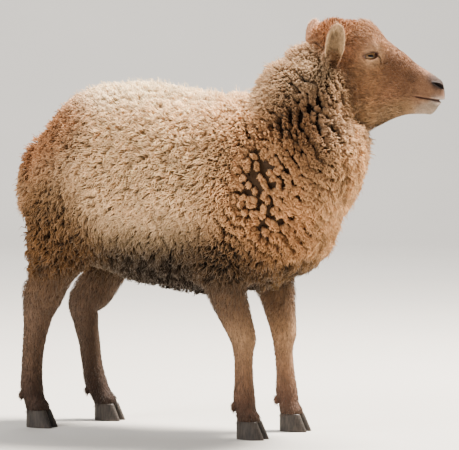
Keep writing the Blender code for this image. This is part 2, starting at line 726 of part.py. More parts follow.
def fleece_clumps(core):
    """Clumps all over the fleece of the body, neck and thighs."""
    spots, normals = scattered(core, CLUMP_COUNT, wool_height, CLUMP_SEED)
    heights = wool_height(spots)
    lies = lie_of_wool(spots)
    draw = np.random.default_rng(CLUMP_SEED + 1)
    made = []
    for k, spot in enumerate(spots):
        sizes = np.array(CLUMP_SIZES[draw.integers(len(CLUMP_SIZES))])
        sizes = sizes * (1 + CLUMP_VARIATION * draw.uniform(-1, 1, 3))
        sizes = sizes * (0.55 + 0.45 * heights[k] / CLUMP_HEIGHT)
        made.append(clump("clump", spot, normals[k], lies[k], sizes, heights[k]))
    return made


def tail_clumps(core):
    """Smaller clumps round the tail, hanging."""

    def on_tail(points):
        low, high = TAIL_CLUMPS_Z
        behind = (points[:, 0] < TAIL_CUT_X - 0.004) & (np.abs(points[:, 1]) < TAIL_HALF_WIDTH)
        return behind & (points[:, 2] > low) & (points[:, 2] < high)

    spots, normals = scattered(core, TAIL_COUNT, on_tail, CLUMP_SEED)
    hang = np.array(TAIL_HANG)
    return [clump("tail_clump", s, n, hang, TAIL_CLUMP, TAIL_FLEECE / 2) for s, n in zip(spots, normals)]


def poll_clumps(head):
    """Small clumps of the tuft on top of the head, between the ears, combed forwards."""

    def on_poll(points):
        along = (points[:, 0] - POLL_CENTRE[0]) / POLL_REACH[0]
        across = points[:, 1] / POLL_REACH[1]
        return (along**2 + across**2 < 1) & (points[:, 2] > 0.060)

    spots, normals = scattered(head, POLL_COUNT, on_poll, CLUMP_SEED)
    forwards = np.array(POLL_LIE)
    return [clump("poll_clump", s, n, forwards, POLL_CLUMP, POLL_HEIGHT) for s, n in zip(spots, normals)]


def build_head():
    """The head with its ears and closed lids, before the sockets and the mouth are cut."""
    along = np.concatenate(
        [
            np.linspace(HEAD_REAR_X + 0.001, 0.018, 4),
            np.linspace(0.034, 0.100, 7),
            np.linspace(0.114, 0.176, 6),
            MUZZLE_FRONT_X - MUZZLE_ROUND * (1 - np.sin(np.linspace(0.15, 1.45, 5))),
        ]
    )
    angle = np.linspace(0, 2 * math.pi, 26, endpoint=False)
    grid = np.meshgrid(along, angle, indexing="ij")
    made = tube("head", head_surface(*grid))
    additions = poll_clumps(made)
    for side_sign in (1, -1):
        additions.append(tube("ear", ear_points(side_sign, 9, 7)))
        centre = np.array(EYE_CENTRE) * (1, side_sign, 1)
        additions.append(lid_rim(side_sign))
        additions.append(ellipsoid("lids", centre, np.eye(3) * (EYE_RADIUS + LID_THICKNESS), 12, 6))
    boolean(made, additions, "UNION")
    made.data.transform(head_frame())
    return made


def face_cutters():
    """Cutters for the mouth, and for the nostril, eye socket and opening between the lids on each side."""
    cutters = [mouth_groove()]
    for side_sign in (1, -1):
        centre = np.array(EYE_CENTRE) * (1, side_sign, 1)
        cutters.append(ellipsoid("socket", centre, np.eye(3) * (EYE_RADIUS + GAP), 12, 6))
        cutters.append(almond(side_sign))
        cutters.append(nostril(side_sign))
    for cutter in cutters:
        cutter.data.transform(head_frame())
    return cutters


def claw(name, leg_name, inner):
    """One claw of a cloven hoof: rounded outside, flat towards the cleft, with a level sole."""
    sizes = FORELEG_SIZES if leg_name.startswith("fore") else HINDLEG_SIZES
    side_sign = 1 if leg_name.endswith("left") else -1
    path, _ = leg_values(sizes, STRIDES[leg_name], side_sign, np.array([1.0]))
    foot_x, foot_y = path[0, :2]
    outwards = -side_sign if inner else side_sign
    turn = np.linspace(0, 2 * math.pi, 10, endpoint=False)
    rings = []
    for share in (0.0, 0.5, 1.0):
        length = HOOF_LENGTH + (HOOF_TOP_LENGTH - HOOF_LENGTH) * share
        width = CLAW_WIDTH + (CLAW_TOP_WIDTH - CLAW_WIDTH) * share
        centre = foot_x + HOOF_REACH * (1 - share)
        point = 1 - 0.42 * np.maximum(np.cos(turn), 0) ** 2 * (1 - 0.6 * share)
        across = power(np.sin(turn), np.where(np.sin(turn) > 0, 0.9, 0.45))
        near = CLEFT / 2
        x = centre + length / 2 * np.cos(turn)
        y = foot_y + outwards * (near + width / 2 * (1 + across * point))
        z = np.full(len(turn), HOOF_HEIGHT * share)
        rings.append(np.stack([x, y, z], axis=1))
    return tube(name, np.array(rings))


def dewclaws(leg_name):
    """Two small horny knobs behind the fetlock."""
    sizes = FORELEG_SIZES if leg_name.startswith("fore") else HINDLEG_SIZES
    side_sign = 1 if leg_name.endswith("left") else -1
    path, values = leg_values(sizes, STRIDES[leg_name], side_sign, np.linspace(0, 1, 60))
    k = int(np.argmin(np.abs(path[:, 2] - DEWCLAW_Z)))
    made = []
    for outwards in (-1, 1):
        centre = path[k] + (-values[k, 3] + 0.0005, outwards * DEWCLAW_APART, -0.003)
        axes = np.eye(3) * DEWCLAW_RADIUS * np.array(DEWCLAW_SHAPE)[:, None]
        made.append(ellipsoid("dewclaw", centre, axes, 7, 3))
    return made


def box_along(name, corner, axes, low, high):
    """A box in a turned frame, from its low to its high corner."""
    corners = []
    for x in (low[0], high[0]):
        for y in (low[1], high[1]):
            for z in (low[2], high[2]):
                corners.append(corner + axes[0] * x + axes[1] * y + axes[2] * z)
    faces = [(0, 1, 3, 2), (4, 6, 7, 5), (0, 4, 5, 1), (2, 3, 7, 6), (0, 2, 6, 4), (1, 5, 7, 3)]
    made = new_mesh_object(name, corners, faces)
    turn_outwards(made)
    return made


def frame_from(normal, sideways):
    """Three square axes: the normal, the sideways direction and what is square to both."""
    normal = unit(normal)
    sideways = unit(np.asarray(sideways, float) - normal * (np.asarray(sideways, float) @ normal))
    return np.array((normal, sideways, np.cross(normal, sideways)))


def in_head(point):
    return np.array(head_frame() @ Vector(point))


def head_direction(vector):
    return np.array(head_frame().to_3x3() @ Vector(vector))


def head_region(slack):
    """All that lies ahead of the cut between the head and the neck."""
    axes = frame_from(head_direction(HEAD_CUT_NORMAL), head_direction((0, 1, 0)))
    return box_along("head_region", in_head(HEAD_CUT_POINT), axes, (-slack, -0.20, -0.25), (0.40, 0.20, 0.25))


def ear_region(side_sign, slack):
    """All of one ear outside its root."""
    normal = np.array(EAR_CUT_NORMAL) * (1, side_sign, 1)
    axes = frame_from(head_direction(normal), head_direction((1, 0, 0)))
    root = in_head(np.array(EAR_CUT_POINT) * (1, side_sign, 1))
    wide = EAR_HALF_WIDTH + 0.010 + slack
    return box_along("ear_region", root, axes, (-slack, -wide - 0.012, -0.090), (0.12, wide, 0.090))


def neck_region(slack):
    """The neck, from the cut at the withers and breast upwards."""
    axes = frame_from(NECK_CUT_NORMAL, (0, 1, 0))
    low, high = (-slack, -0.20, -0.30), (0.40, 0.20, 0.30)
    return box_along("neck_region", np.array(NECK_CUT_POINT), axes, low, high)


def foreleg_region(side_sign, slack):
    """A foreleg below the elbow cut."""
    low_y, high_y = sorted((side_sign * (0.024 - slack), side_sign * (0.126 + slack)))
    low = (0.074 - slack, low_y, -0.02)
    high = (0.216 + slack, high_y, FORELEG_CUT_Z + slack)
    return box_along("foreleg_region", np.zeros(3), np.eye(3), low, high)


def thigh_region(side_sign, slack):
    """A thigh, below a sloping cut and to its own side of the middle."""
    (front_x, front_z), (rear_x, rear_z) = THIGH_CUT
    front_x, lift, low_z = front_x + slack, slack * 1.2, -0.02
    outline = ((front_x, low_z), (front_x, front_z + lift), (rear_x, rear_z + lift), (rear_x, low_z))
    middle = side_sign * (GAP / 2 - slack)
    rings = []
    for y in (middle, side_sign * 0.20):
        rings.append([(x, y, z) for x, z in outline])
    return tube("thigh_region", np.array(rings))


def shank_region(side_sign, slack):
    """A hind leg below the wool of its thigh."""
    low_y, high_y = sorted((side_sign * (0.012 - slack), side_sign * (0.18 + slack)))
    low = (-0.340 - slack, low_y, -0.02)
    high = (-0.110 + slack, high_y, SHANK_CUT_Z + slack)
    return box_along("shank_region", np.zeros(3), np.eye(3), low, high)


def tail_region(slack):
    """The tail behind the rump."""
    low = (-0.40, -0.032 - slack, 0.345 - slack)
    high = (TAIL_CUT_X + slack, 0.032 + slack, 0.500 + slack)
    return box_along("tail_region", np.zeros(3), np.eye(3), low, high)


def part_off(whole, name, make_region, *facts):
    """Takes the part inside a region off the whole, leaving the thin gap between them."""
    taken = copy_of(whole, name)
    boolean(taken, [make_region(*facts, 0.0)], "INTERSECT")
    boolean(whole, [make_region(*facts, GAP)], "DIFFERENCE")
    return keep_largest(taken)


def finish(made, colour, roughness):
    """Gives a part its material, rounds its shading and carries it to the row's origin."""
    material = bpy.data.materials.new(made.name)
    material.use_nodes = True
    shader = material.node_tree.nodes["Principled BSDF"]
    shader.inputs["Base Color"].default_value = (*colour, 1)
    shader.inputs["Roughness"].default_value = roughness
    made.data.materials.clear()
    made.data.materials.append(material)
    made.data.transform(Matrix.Translation((-ROW_ORIGIN[0], -ROW_ORIGIN[1], 0)))
    made.data.shade_smooth()
    made.data.set_sharp_from_angle(angle=math.radians(55))


def main():
    for old in list(bpy.data.objects):
        bpy.data.objects.remove(old)
    whole = build_head()
    whole.name = "whole"
    pieces = [
        tube("neck_core", neck(NECK_FLEECE / 2, 8, 18)),
        tube("tail_core", tail(TAIL_FLEECE / 2, 7, 10)),
    ]
    for name in STRIDES:
        pieces.append(tube(name + "_core", leg(name, 0.5, 19, 10)))
        pieces += dewclaws(name)
    core = tube("torso_core", torso(BODY_FLEECE / 2, 13, 18))
    boolean(core, pieces, "UNION")
    clumps = fleece_clumps(core) + tail_clumps(core)
    boolean(core, clumps, "UNION")
    drop_short_edges(keep_largest(core), KEPT_FACES)
    boolean(whole, [core], "UNION")
    boolean(whole, face_cutters(), "DIFFERENCE")

    fleece_colour = (0.36, 0.22, 0.13)
    leg_colour = (0.16, 0.085, 0.045)
    face_colour = (0.30, 0.17, 0.10)
    parts = {}
    for side, side_sign in (("left", 1), ("right", -1)):
        parts["ear_" + side] = (part_off(whole, "ear_" + side, ear_region, side_sign), face_colour)
    parts["head"] = (part_off(whole, "head", head_region), face_colour)
    parts["neck"] = (part_off(whole, "neck", neck_region), fleece_colour)
    parts["tail"] = (part_off(whole, "tail", tail_region), fleece_colour)
    limbs = (
        ("foreleg_", foreleg_region, leg_colour),
        ("hindleg_", shank_region, leg_colour),
        ("thigh_", thigh_region, fleece_colour),
    )
    for side, side_sign in (("left", 1), ("right", -1)):
        for limb, region, colour in limbs:
            parts[limb + side] = (part_off(whole, limb + side, region, side_sign), colour)
    whole.name = "torso"
    parts["torso"] = (keep_largest(whole), fleece_colour)
    for made, colour in parts.values():
        finish(made, colour, 0.9)
    for side, side_sign in (("left", 1), ("right", -1)):
        centre = np.array(EYE_CENTRE) * (1, side_sign, 1)
        eye = ellipsoid("eye_" + side, centre, np.eye(3) * EYE_RADIUS, 12, 6)
        eye.data.transform(head_frame())
        finish(eye, (0.25, 0.13, 0.04), 0.15)
    for leg_name in STRIDES:
        for place, inner in (("inner", True), ("outer", False)):
            hoof_name = leg_name.replace("leg", "_hoof") + "_" + place
            finish(claw(hoof_name, leg_name, inner), (0.035, 0.025, 0.02), 0.5)


main()
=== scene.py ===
"""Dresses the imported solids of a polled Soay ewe: one skin, a coat of wool and hair, eyes and hooves.

Metres, +Z up, +X towards the breast, +Y to her left. Shapes are worked out in the maker's frame, whose
Y 0 runs through the middle of the body, and ROW_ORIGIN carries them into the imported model's frame.
"""

import json
import math
from collections import namedtuple

import bpy
import numpy as np
from bpy.props import FloatProperty, FloatVectorProperty, IntProperty, PointerProperty
from bpy.types import Operator, Panel, PropertyGroup
from mathutils import Matrix, Vector

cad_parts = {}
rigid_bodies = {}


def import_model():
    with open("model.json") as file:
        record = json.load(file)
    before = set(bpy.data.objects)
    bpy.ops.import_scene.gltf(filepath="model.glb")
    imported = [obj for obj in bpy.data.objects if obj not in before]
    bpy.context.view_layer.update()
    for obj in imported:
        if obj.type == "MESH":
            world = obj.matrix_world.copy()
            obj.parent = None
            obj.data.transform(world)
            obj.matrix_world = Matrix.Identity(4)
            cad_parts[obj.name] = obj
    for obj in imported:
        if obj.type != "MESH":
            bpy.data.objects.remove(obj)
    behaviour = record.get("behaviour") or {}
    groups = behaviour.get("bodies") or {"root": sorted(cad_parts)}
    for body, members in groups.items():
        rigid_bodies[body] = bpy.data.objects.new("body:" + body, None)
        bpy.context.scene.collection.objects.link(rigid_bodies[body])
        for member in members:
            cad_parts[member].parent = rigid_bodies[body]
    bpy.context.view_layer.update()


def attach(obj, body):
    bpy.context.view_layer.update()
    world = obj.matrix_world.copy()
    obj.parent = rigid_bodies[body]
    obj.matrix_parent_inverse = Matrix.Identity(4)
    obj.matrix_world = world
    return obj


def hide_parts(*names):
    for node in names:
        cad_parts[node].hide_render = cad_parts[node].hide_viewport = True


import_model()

bl_info = {
    "name": "Soay Ewe",
    "version": (1, 0, 0),
    "blender": (4, 5, 0),
    "location": "3D View > Sidebar > Ewe",
    "description": "Skin, fleece, hair, eyes and hooves of a standing Soay ewe",
    "category": "Object",
}

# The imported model's origin in the maker's frame.
ROW_ORIGIN = np.array((0.0597, 0.0102, 0.0))

# Torso over the tips of the fleece, and its fleece's depth.
TORSO_REAR_X = -0.276
TORSO_FRONT_X = 0.295
TORSO_AXIS_Z = 0.420
TORSO_BLUNTNESS = 3.4
TORSO_SQUARENESS = 2.25
NECK_SQUARENESS = 2.1
LEG_SQUARENESS = 2.15
LEFTWARDS = np.array((0.0, 1.0, 0.0))
UPWARDS = np.array((0.0, 0.0, 1.0))
# Along X: height above the axis, depth below it and half width.
TORSO_SIZES = (
    (-0.276, 0.150, 0.130, 0.128),
    (-0.200, 0.179, 0.152, 0.142),
    (-0.100, 0.184, 0.172, 0.146),
    (-0.040, 0.180, 0.177, 0.148),
    (0.020, 0.170, 0.186, 0.149),
    (0.080, 0.163, 0.193, 0.145),
    (0.150, 0.165, 0.193, 0.138),
    (0.220, 0.164, 0.187, 0.131),
    (0.295, 0.155, 0.184, 0.122),
)
BODY_FLEECE = 0.040

# Neck over the fleece: centre, half depth from nape to throat and half width.
NECK_SIZES = (
    (0.160, 0.000, 0.395, 0.122, 0.108),
    (0.214, 0.000, 0.475, 0.130, 0.113),
    (0.234, 0.020, 0.555, 0.103, 0.093),
    (0.251, 0.036, 0.612, 0.089, 0.078),
    (0.245, 0.030, 0.652, 0.060, 0.054),
)
NECK_FLEECE = 0.038

# Head in its own frame: x along the face from the ear line, y left, z towards the crown.
HEAD_ORIGIN = (0.2666, 0.040, 0.609)
HEAD_YAW = math.radians(37)
HEAD_PITCH = math.radians(12)
HEAD_ROLL = math.radians(5)
HEAD_REAR_X = -0.045
HEAD_REAR_ROUND = 0.030
MUZZLE_FRONT_X = 0.199
MUZZLE_ROUND = 0.016
# Along the face: top line, lower line, height of the widest place, half width there.
HEAD_SIZES = (
    (-0.045, 0.080, -0.050, 0.022, 0.040),
    (-0.015, 0.083, -0.066, 0.026, 0.043),
    (0.010, 0.088, -0.078, 0.032, 0.044),
    (0.028, 0.092, -0.084, 0.038, 0.046),
    (0.044, 0.093, -0.085, 0.042, 0.047),
    (0.060, 0.088, -0.084, 0.039, 0.044),
    (0.076, 0.078, -0.078, 0.030, 0.039),
    (0.096, 0.068, -0.064, 0.020, 0.033),
    (0.116, 0.060, -0.051, 0.013, 0.028),
    (0.140, 0.049, -0.038, 0.008, 0.0250),
    (0.167, 0.040, -0.031, 0.005, 0.0238),
    (0.184, 0.033, -0.027, 0.004, 0.0228),
    (0.199, 0.024, -0.022, 0.003, 0.0200),
)
# Swellings and hollows of the face: place, reach and height, the same on both sides.
FACE_FORMS = (
    ((0.046, 0.046, 0.061), 0.015, 0.0050),
    ((0.016, 0.040, 0.062), 0.015, -0.0030),
    ((0.030, 0.038, -0.020), 0.028, 0.0030),
    ((0.084, 0.034, 0.028), 0.016, -0.0022),
    ((0.184, 0.012, 0.024), 0.008, 0.0020),
    ((0.176, 0.020, 0.004), 0.010, 0.0018),
    ((0.178, 0.016, -0.014), 0.009, 0.0016),
)
# Finer folds that only the skin shows: brow, crest and hollows of the cheek, jaw, chin and bridge.
SKIN_FORMS = (
    ((0.050, 0.045, 0.060), 0.007, 0.0018),
    ((0.062, 0.034, 0.068), 0.010, 0.0016),
    ((0.073, 0.037, 0.020), 0.010, 0.0018),
    ((0.084, 0.034, 0.028), 0.013, -0.0016),
    ((0.092, 0.034, 0.004), 0.013, 0.0024),
    ((0.112, 0.030, -0.002), 0.013, 0.0016),
    ((0.060, 0.041, -0.008), 0.012, -0.0014),
    ((0.026, 0.041, -0.030), 0.022, 0.0022),
    ((0.070, 0.034, -0.045), 0.014, -0.0018),
    ((0.108, 0.027, -0.024), 0.014, -0.0016),
    ((0.118, 0.026, 0.024), 0.016, -0.0016),
    ((0.150, 0.021, 0.022), 0.012, -0.0012),
    ((0.105, 0.000, 0.066), 0.024, 0.0014),
    ((0.030, 0.000, 0.094), 0.030, 0.0026),
    ((0.183, 0.007, -0.019), 0.010, 0.0030),
    ((0.196, 0.010, 0.003), 0.007, 0.0012),
)

# Eyeball, the lids over it and the almond opening between them.
EYE_CENTRE = np.array((0.0415, 0.0365, 0.0445))
EYE_RADIUS = 0.0138
EYE_GAZE = (0.22, 0.97, 0.08)
EYE_TILT = math.radians(20)
LID_THICKNESS = 0.0019
LID_LENGTH = 0.0285
LID_AHEAD = 0.0010
LID_RISE = 0.0051
LID_DROP = 0.0058
# The slit of the scent gland ahead of the inner corner of the eye.
GLAND_TOP = (0.0580, 0.0492)
GLAND_BEND = (0.0628, 0.0462)
GLAND_LOW = (0.0668, 0.0372)
GLAND_DEPTH = 0.0018

# Line of the mouth and the nostrils.
MOUTH_CORNER_X = 0.143
MOUTH_Z = -0.0045
MOUTH_RISE = 0.003
NOSTRIL_CENTRE = np.array((0.1790, 0.0212, 0.0230))
NOSTRIL_HALF_LENGTH = 0.0122
NOSTRIL_THICKNESS = 0.0034
NOSTRIL_SLOPE = math.radians(-12)
NOSTRIL_OUTWARDS = (0.30, 0.95, 0.10)

# Windows of the face's grid round the eye and the nostril: span along the face and span of the angle.
EYE_WINDOW = ((0.0135, 0.0710), (math.radians(58), math.radians(112)))
NOSTRIL_WINDOW = ((0.1570, 0.1955), (math.radians(42), math.radians(92)))

# Rings that run on into the socket and the nostril: share of the opening's edge, and height or depth.
EYE_SOCKET_STEPS = ((0.985, 0.0006), (0.960, -0.0004), (0.900, -0.0022), (0.55, -0.0050), (0.2, -0.0060))
NOSTRIL_STEPS = ((0.90, 0.0004), (0.80, 0.0020), (0.66, 0.0045), (0.45, 0.0070), (0.2, 0.0085))

# Ears: cups that open outwards, from a narrow tube at the root to a rounded tip.
EAR_ROOT = (-0.0215, 0.036, 0.018)
EAR_LEAN = (-0.14, 0.525, 0.825)
EAR_OPENING = (0.25, 0.85, -0.50)
EAR_LENGTH = 0.081
EAR_HALF_WIDTH = 0.0170
EAR_THICKNESS = 0.0034

# Legs from top to bottom: x, z, half depth in front and behind, half width, y, fleece depth.
FORELEG_SIZES = (
    (0.130, 0.420, 0.070, 0.070, 0.042, 0.085, 0.040),
    (0.120, 0.340, 0.062, 0.060, 0.043, 0.088, 0.034),
    (0.118, 0.285, 0.044, 0.042, 0.037, 0.083, 0.018),
    (0.127, 0.236, 0.0300, 0.0310, 0.0285, 0.075, 0.004),
    (0.1375, 0.205, 0.0245, 0.0262, 0.0240, 0.070, 0.000),
    (0.1460, 0.180, 0.0220, 0.0225, 0.0215, 0.067, 0.000),
    (0.1490, 0.168, 0.0212, 0.0205, 0.0208, 0.066, 0.000),
    (0.1497, 0.145, 0.0158, 0.0165, 0.0160, 0.065, 0.000),
    (0.1505, 0.100, 0.0150, 0.0154, 0.0145, 0.065, 0.000),
    (0.1520, 0.066, 0.0168, 0.0182, 0.0175, 0.065, 0.000),
    (0.1550, 0.046, 0.0160, 0.0172, 0.0170, 0.065, 0.000),
    (0.1600, 0.0305, 0.0185, 0.0190, 0.0200, 0.065, 0.000),
)
HINDLEG_SIZES = (
    (-0.150, 0.450, 0.085, 0.085, 0.050, 0.082, 0.040),
    (-0.172, 0.370, 0.090, 0.085, 0.058, 0.086, 0.040),
    (-0.190, 0.310, 0.066, 0.060, 0.050, 0.086, 0.034),
    (-0.211, 0.258, 0.040, 0.039, 0.038, 0.081, 0.018),
    (-0.2270, 0.228, 0.0350, 0.0385, 0.0285, 0.076, 0.006),
    (-0.2360, 0.206, 0.0265, 0.0310, 0.0225, 0.072, 0.000),
    (-0.2430, 0.178, 0.0215, 0.0235, 0.0192, 0.070, 0.000),
    (-0.2500, 0.140, 0.0185, 0.0190, 0.0165, 0.070, 0.000),
    (-0.2535, 0.095, 0.0178, 0.0182, 0.0158, 0.070, 0.000),
    (-0.2525, 0.066, 0.0180, 0.0195, 0.0182, 0.070, 0.000),
    (-0.2470, 0.046, 0.0165, 0.0175, 0.0172, 0.070, 0.000),
    (-0.2400, 0.0305, 0.0185, 0.0190, 0.0202, 0.070, 0.000),
)
# How far each left leg stands ahead of the right one, at heights from the floor up.
STRIDES = {
    "foreleg_right": ((0.0, 0.0), (0.1, 0.0)),
    "foreleg_left": ((0.050, 0.022), (0.160, 0.016), (0.230, 0.024), (0.330, 0.0)),
    "hindleg_right": ((0.0, 0.0), (0.1, 0.0)),
    "hindleg_left": ((0.030, 0.060), (0.140, 0.035), (0.205, 0.012), (0.240, 0.024), (0.380, 0.0)),
}
DEWCLAW_RADIUS = 0.0055
DEWCLAW_Z = 0.058

HOOF_HEIGHT = 0.0302
HOOF_LENGTH = 0.050
HOOF_TOP_LENGTH = 0.036
CLAW_WIDTH = 0.0190
CLAW_TOP_WIDTH = 0.0178
CLEFT = 0.0030
HOOF_REACH = 0.007

# Tail over its wool: x, z and radius, hanging behind the rump.
TAIL_SIZES = (
    (-0.236, 0.500, 0.016),
    (-0.268, 0.478, 0.021),
    (-0.283, 0.440, 0.024),
    (-0.289, 0.405, 0.024),
    (-0.287, 0.372, 0.016),
)
TAIL_FLEECE = 0.012

# Below these heights the legs carry short hair alone.
FORELEG_WOOL_Z = 0.262
THIGH_WOOL_Z = 0.236
THIGH_WOOL_FULL_Z = 0.320


def smooth(at, knots, values):
    """Values read at the given places from a smooth curve through the knots (Hermite pieces)."""
    at = np.asarray(at, float)
    knots = np.asarray(knots, float)
    values = np.asarray(values, float)
    slopes = np.gradient(values, knots, axis=0)
    i = np.clip(np.searchsorted(knots, at, side="right") - 1, 0, len(knots) - 2)
    step = knots[i + 1] - knots[i]
    u = (at - knots[i]) / step
    shape = (-1,) + (1,) * (values.ndim - 1)
    u, step = u.reshape(shape), step.reshape(shape)
    rest = 1 - u
    return (
        values[i] * rest * rest * (1 + 2 * u)
        + values[i + 1] * u * u * (3 - 2 * u)
        + step * u * rest * (slopes[i] * rest - slopes[i + 1] * u)
    )


def power(value, exponent):
    """The value's size raised to a power, keeping its sign."""
    return np.sign(value) * np.abs(value) ** exponent


def unit(vectors):
    """The vectors at length one."""
    vectors = np.asarray(vectors, float)
    return vectors / np.maximum(np.linalg.norm(vectors, axis=-1, keepdims=True), 1e-12)


def ease(value, low, high):
    """0 below low, 1 above high and a smooth step between."""
    u = np.clip((np.asarray(value, float) - low) / (high - low), 0, 1)
    return u * u * (3 - 2 * u)


def bell(distance, reach):
    """1 at distance 0, falling off as a bell of that reach."""
    return np.exp(-((np.asarray(distance, float) / reach) ** 2))


def dot(a, b):
    """The dot product of each pair of vectors."""
    return np.sum(a * b, axis=-1)


def chord_steps(points):
    """Distance run along a line of points, from its first point."""
    return np.concatenate([[0], np.cumsum(np.linalg.norm(np.diff(points, axis=0), axis=1))])


def linear(*shade):
    """A colour given as screen values from 0 to 255, in linear light."""
    value = np.array(shade, float) / 255
    return np.where(value <= 0.04045, value / 12.92, ((value + 0.055) / 1.055) ** 2.4)


# Middle of the pale fluff that fills the angle between throat and jaw.
THROAT = (0.325, 0.062, 0.525)

Zone = namedtuple("Zone", "place reach shade lie height length width pinch curl block")

# Where the fleece changes, on both sides alike: middle and reach as x, distance from the middle plane and z;
# colour of its tips; the way it lies; how far tips stand off the skin, how far they lie over, how wide a
# lock is, how far locks lean together, how far they curl and how far apart their gatherings are.
FLEECE_ZONES = {
    # The back's pale tips: partly their own colour, partly painted light from above.
    "back": Zone(
        (-0.02, 0.02, 0.600), (0.20, 0.10, 0.045), linear(255, 228, 186), (-0.90, 0.10, 0.25),
        0.0215, 0.010, 0.0018, 0.26, 0.0020, 0.0080,
    ),
    "withers": Zone(
        (0.14, 0.04, 0.590), (0.08, 0.09, 0.050), linear(242, 200, 152), (-0.80, 0.20, -0.20),
        0.0210, 0.010, 0.0018, 0.28, 0.0018, 0.0080,
    ),
    "flank": Zone(
        (0.02, 0.14, 0.450), (0.16, 0.10, 0.080), linear(255, 213, 162), (-0.78, 0.0, -0.62),
        0.0195, 0.011, 0.0019, 0.26, 0.0028, 0.0080,
    ),
    "rump": Zone(
        (-0.22, 0.08, 0.520), (0.07, 0.12, 0.070), linear(178, 120, 76), (-0.45, 0.0, -0.89),
        0.0195, 0.009, 0.0024, 0.60, 0.0034, 0.0082,
    ),
    # The thigh's dark tips: partly their own brown, partly painted shade.
    "thigh": Zone(
        (-0.20, 0.12, 0.360), (0.08, 0.10, 0.080), linear(112, 77, 43), (-0.10, 0.0, -1.0),
        0.0190, 0.015, 0.0031, 0.52, 0.0030, 0.0095,
    ),
    # The belly's near-black tips: mostly painted shade under the body.
    "belly": Zone(
        (0.02, 0.07, 0.270), (0.14, 0.14, 0.080), linear(28, 20, 13), (-0.35, 0.0, -0.94),
        0.0180, 0.019, 0.0034, 0.50, 0.0028, 0.0095,
    ),
    "elbow": Zone(
        (0.13, 0.11, 0.300), (0.06, 0.06, 0.050), linear(86, 64, 42), (-0.40, 0.0, -0.92),
        0.0185, 0.012, 0.0031, 0.66, 0.0028, 0.0095,
    ),
    "shoulder": Zone(
        (0.19, 0.12, 0.430), (0.07, 0.09, 0.090), linear(232, 166, 106), (-0.25, 0.0, -0.97),
        0.0215, 0.005, 0.0020, 0.80, 0.0022, 0.0092,
    ),
    "neck": Zone(
        (0.262, 0.09, 0.530), (0.056, 0.085, 0.080), linear(114, 73, 40), (0.25, 0.0, -0.97),
        0.0215, 0.004, 0.0020, 0.80, 0.0020, 0.0088,
    ),
    "nape": Zone(
        (0.17, 0.05, 0.620), (0.06, 0.08, 0.050), linear(116, 67, 32), (-0.60, 0.0, -0.60),
        0.0205, 0.008, 0.0020, 0.34, 0.0020, 0.0080,
    ),
    "breast": Zone(
        (0.33, 0.02, 0.440), (0.05, 0.09, 0.130), linear(244, 192, 138), (0.05, 0.25, -1.0),
        0.0180, 0.011, 0.0018, 0.24, 0.0016, 0.0080,
    ),
    "brisket": Zone(
        (0.24, 0.03, 0.250), (0.06, 0.10, 0.040), linear(116, 88, 56), (-0.30, 0.0, -0.95),
        0.0180, 0.017, 0.0031, 0.40, 0.0022, 0.0095,
    ),
    "poll": Zone(
        (0.285, 0.050, 0.700), (0.050, 0.080, 0.035), linear(146, 91, 52), (0.30, 0.0, 0.30),
        0.0150, 0.006, 0.0017, 0.20, 0.0018, 0.0070,
    ),
    "tail": Zone(
        (-0.300, 0.0, 0.405), (0.030, 0.035, 0.030), linear(178, 136, 96), (-0.60, 0.0, -0.40),
        0.0130, 0.022, 0.0022, 0.25, 0.0020, 0.0090,
    ),
    "throat": Zone(
        THROAT, (0.032, 0.055, 0.036), linear(226, 196, 162), (0.90, 0.10, -0.40),
        0.0290, 0.016, 0.0017, 0.04, 0.0012, 0.0080,
    ),
    "groin": Zone(
        (-0.12, 0.03, 0.270), (0.05, 0.05, 0.040), linear(104, 88, 66), (-0.50, 0.0, -0.80),
        0.0110, 0.014, 0.0028, 0.20, 0.0014, 0.0085,
    ),
}
# Colours of the short hair of the head, placed in the head's frame in the same way.
FACE_ZONES = (
    ((0.020, 0.0, 0.092), 0.036, linear(154, 108, 71)),
    ((0.062, 0.0, 0.086), 0.026, linear(145, 101, 67)),
    ((0.115, 0.0, 0.062), 0.030, linear(137, 94, 64)),
    ((0.150, 0.0, 0.050), 0.018, linear(119, 81, 58)),
    ((0.180, 0.0, 0.036), 0.016, linear(85, 58, 43)),
    ((0.198, 0.0, 0.016), 0.014, linear(68, 46, 37)),
    ((0.010, 0.045, 0.050), 0.028, linear(130, 89, 58)),
    ((0.050, 0.048, 0.000), 0.034, linear(131, 93, 61)),
    ((0.096, 0.032, 0.034), 0.020, linear(102, 69, 46)),
    ((0.100, 0.032, 0.004), 0.026, linear(128, 89, 61)),
    ((0.135, 0.026, 0.020), 0.020, linear(107, 75, 52)),
    ((0.174, 0.022, 0.034), 0.015, linear(57, 38, 29)),
    ((0.045, 0.030, -0.070), 0.030, linear(149, 114, 78)),
    ((0.150, 0.025, 0.006), 0.018, linear(121, 88, 64)),
    ((0.190, 0.020, 0.006), 0.010, linear(130, 98, 76)),
    ((0.174, 0.012, -0.026), 0.020, linear(123, 108, 93)),
    ((0.122, 0.020, -0.044), 0.028, linear(131, 102, 71)),
    ((0.043, 0.050, 0.042), 0.017, linear(167, 131, 98)),
)
LEG_SHADES = {
    "fore": (
        (0.020, linear(54, 39, 29)),
        (0.060, linear(75, 52, 39)),
        (0.100, linear(109, 79, 57)),
        (0.170, linear(134, 103, 74)),
        (0.210, linear(99, 74, 53)),
        (0.280, linear(81, 61, 42)),
    ),
    "hind": (
        (0.020, linear(50, 36, 28)),
        (0.060, linear(60, 42, 32)),
        (0.120, linear(79, 58, 42)),
        (0.200, linear(89, 67, 50)),
        (0.260, linear(106, 79, 56)),
    ),
}
EAR_INSIDE = linear(184, 152, 114)
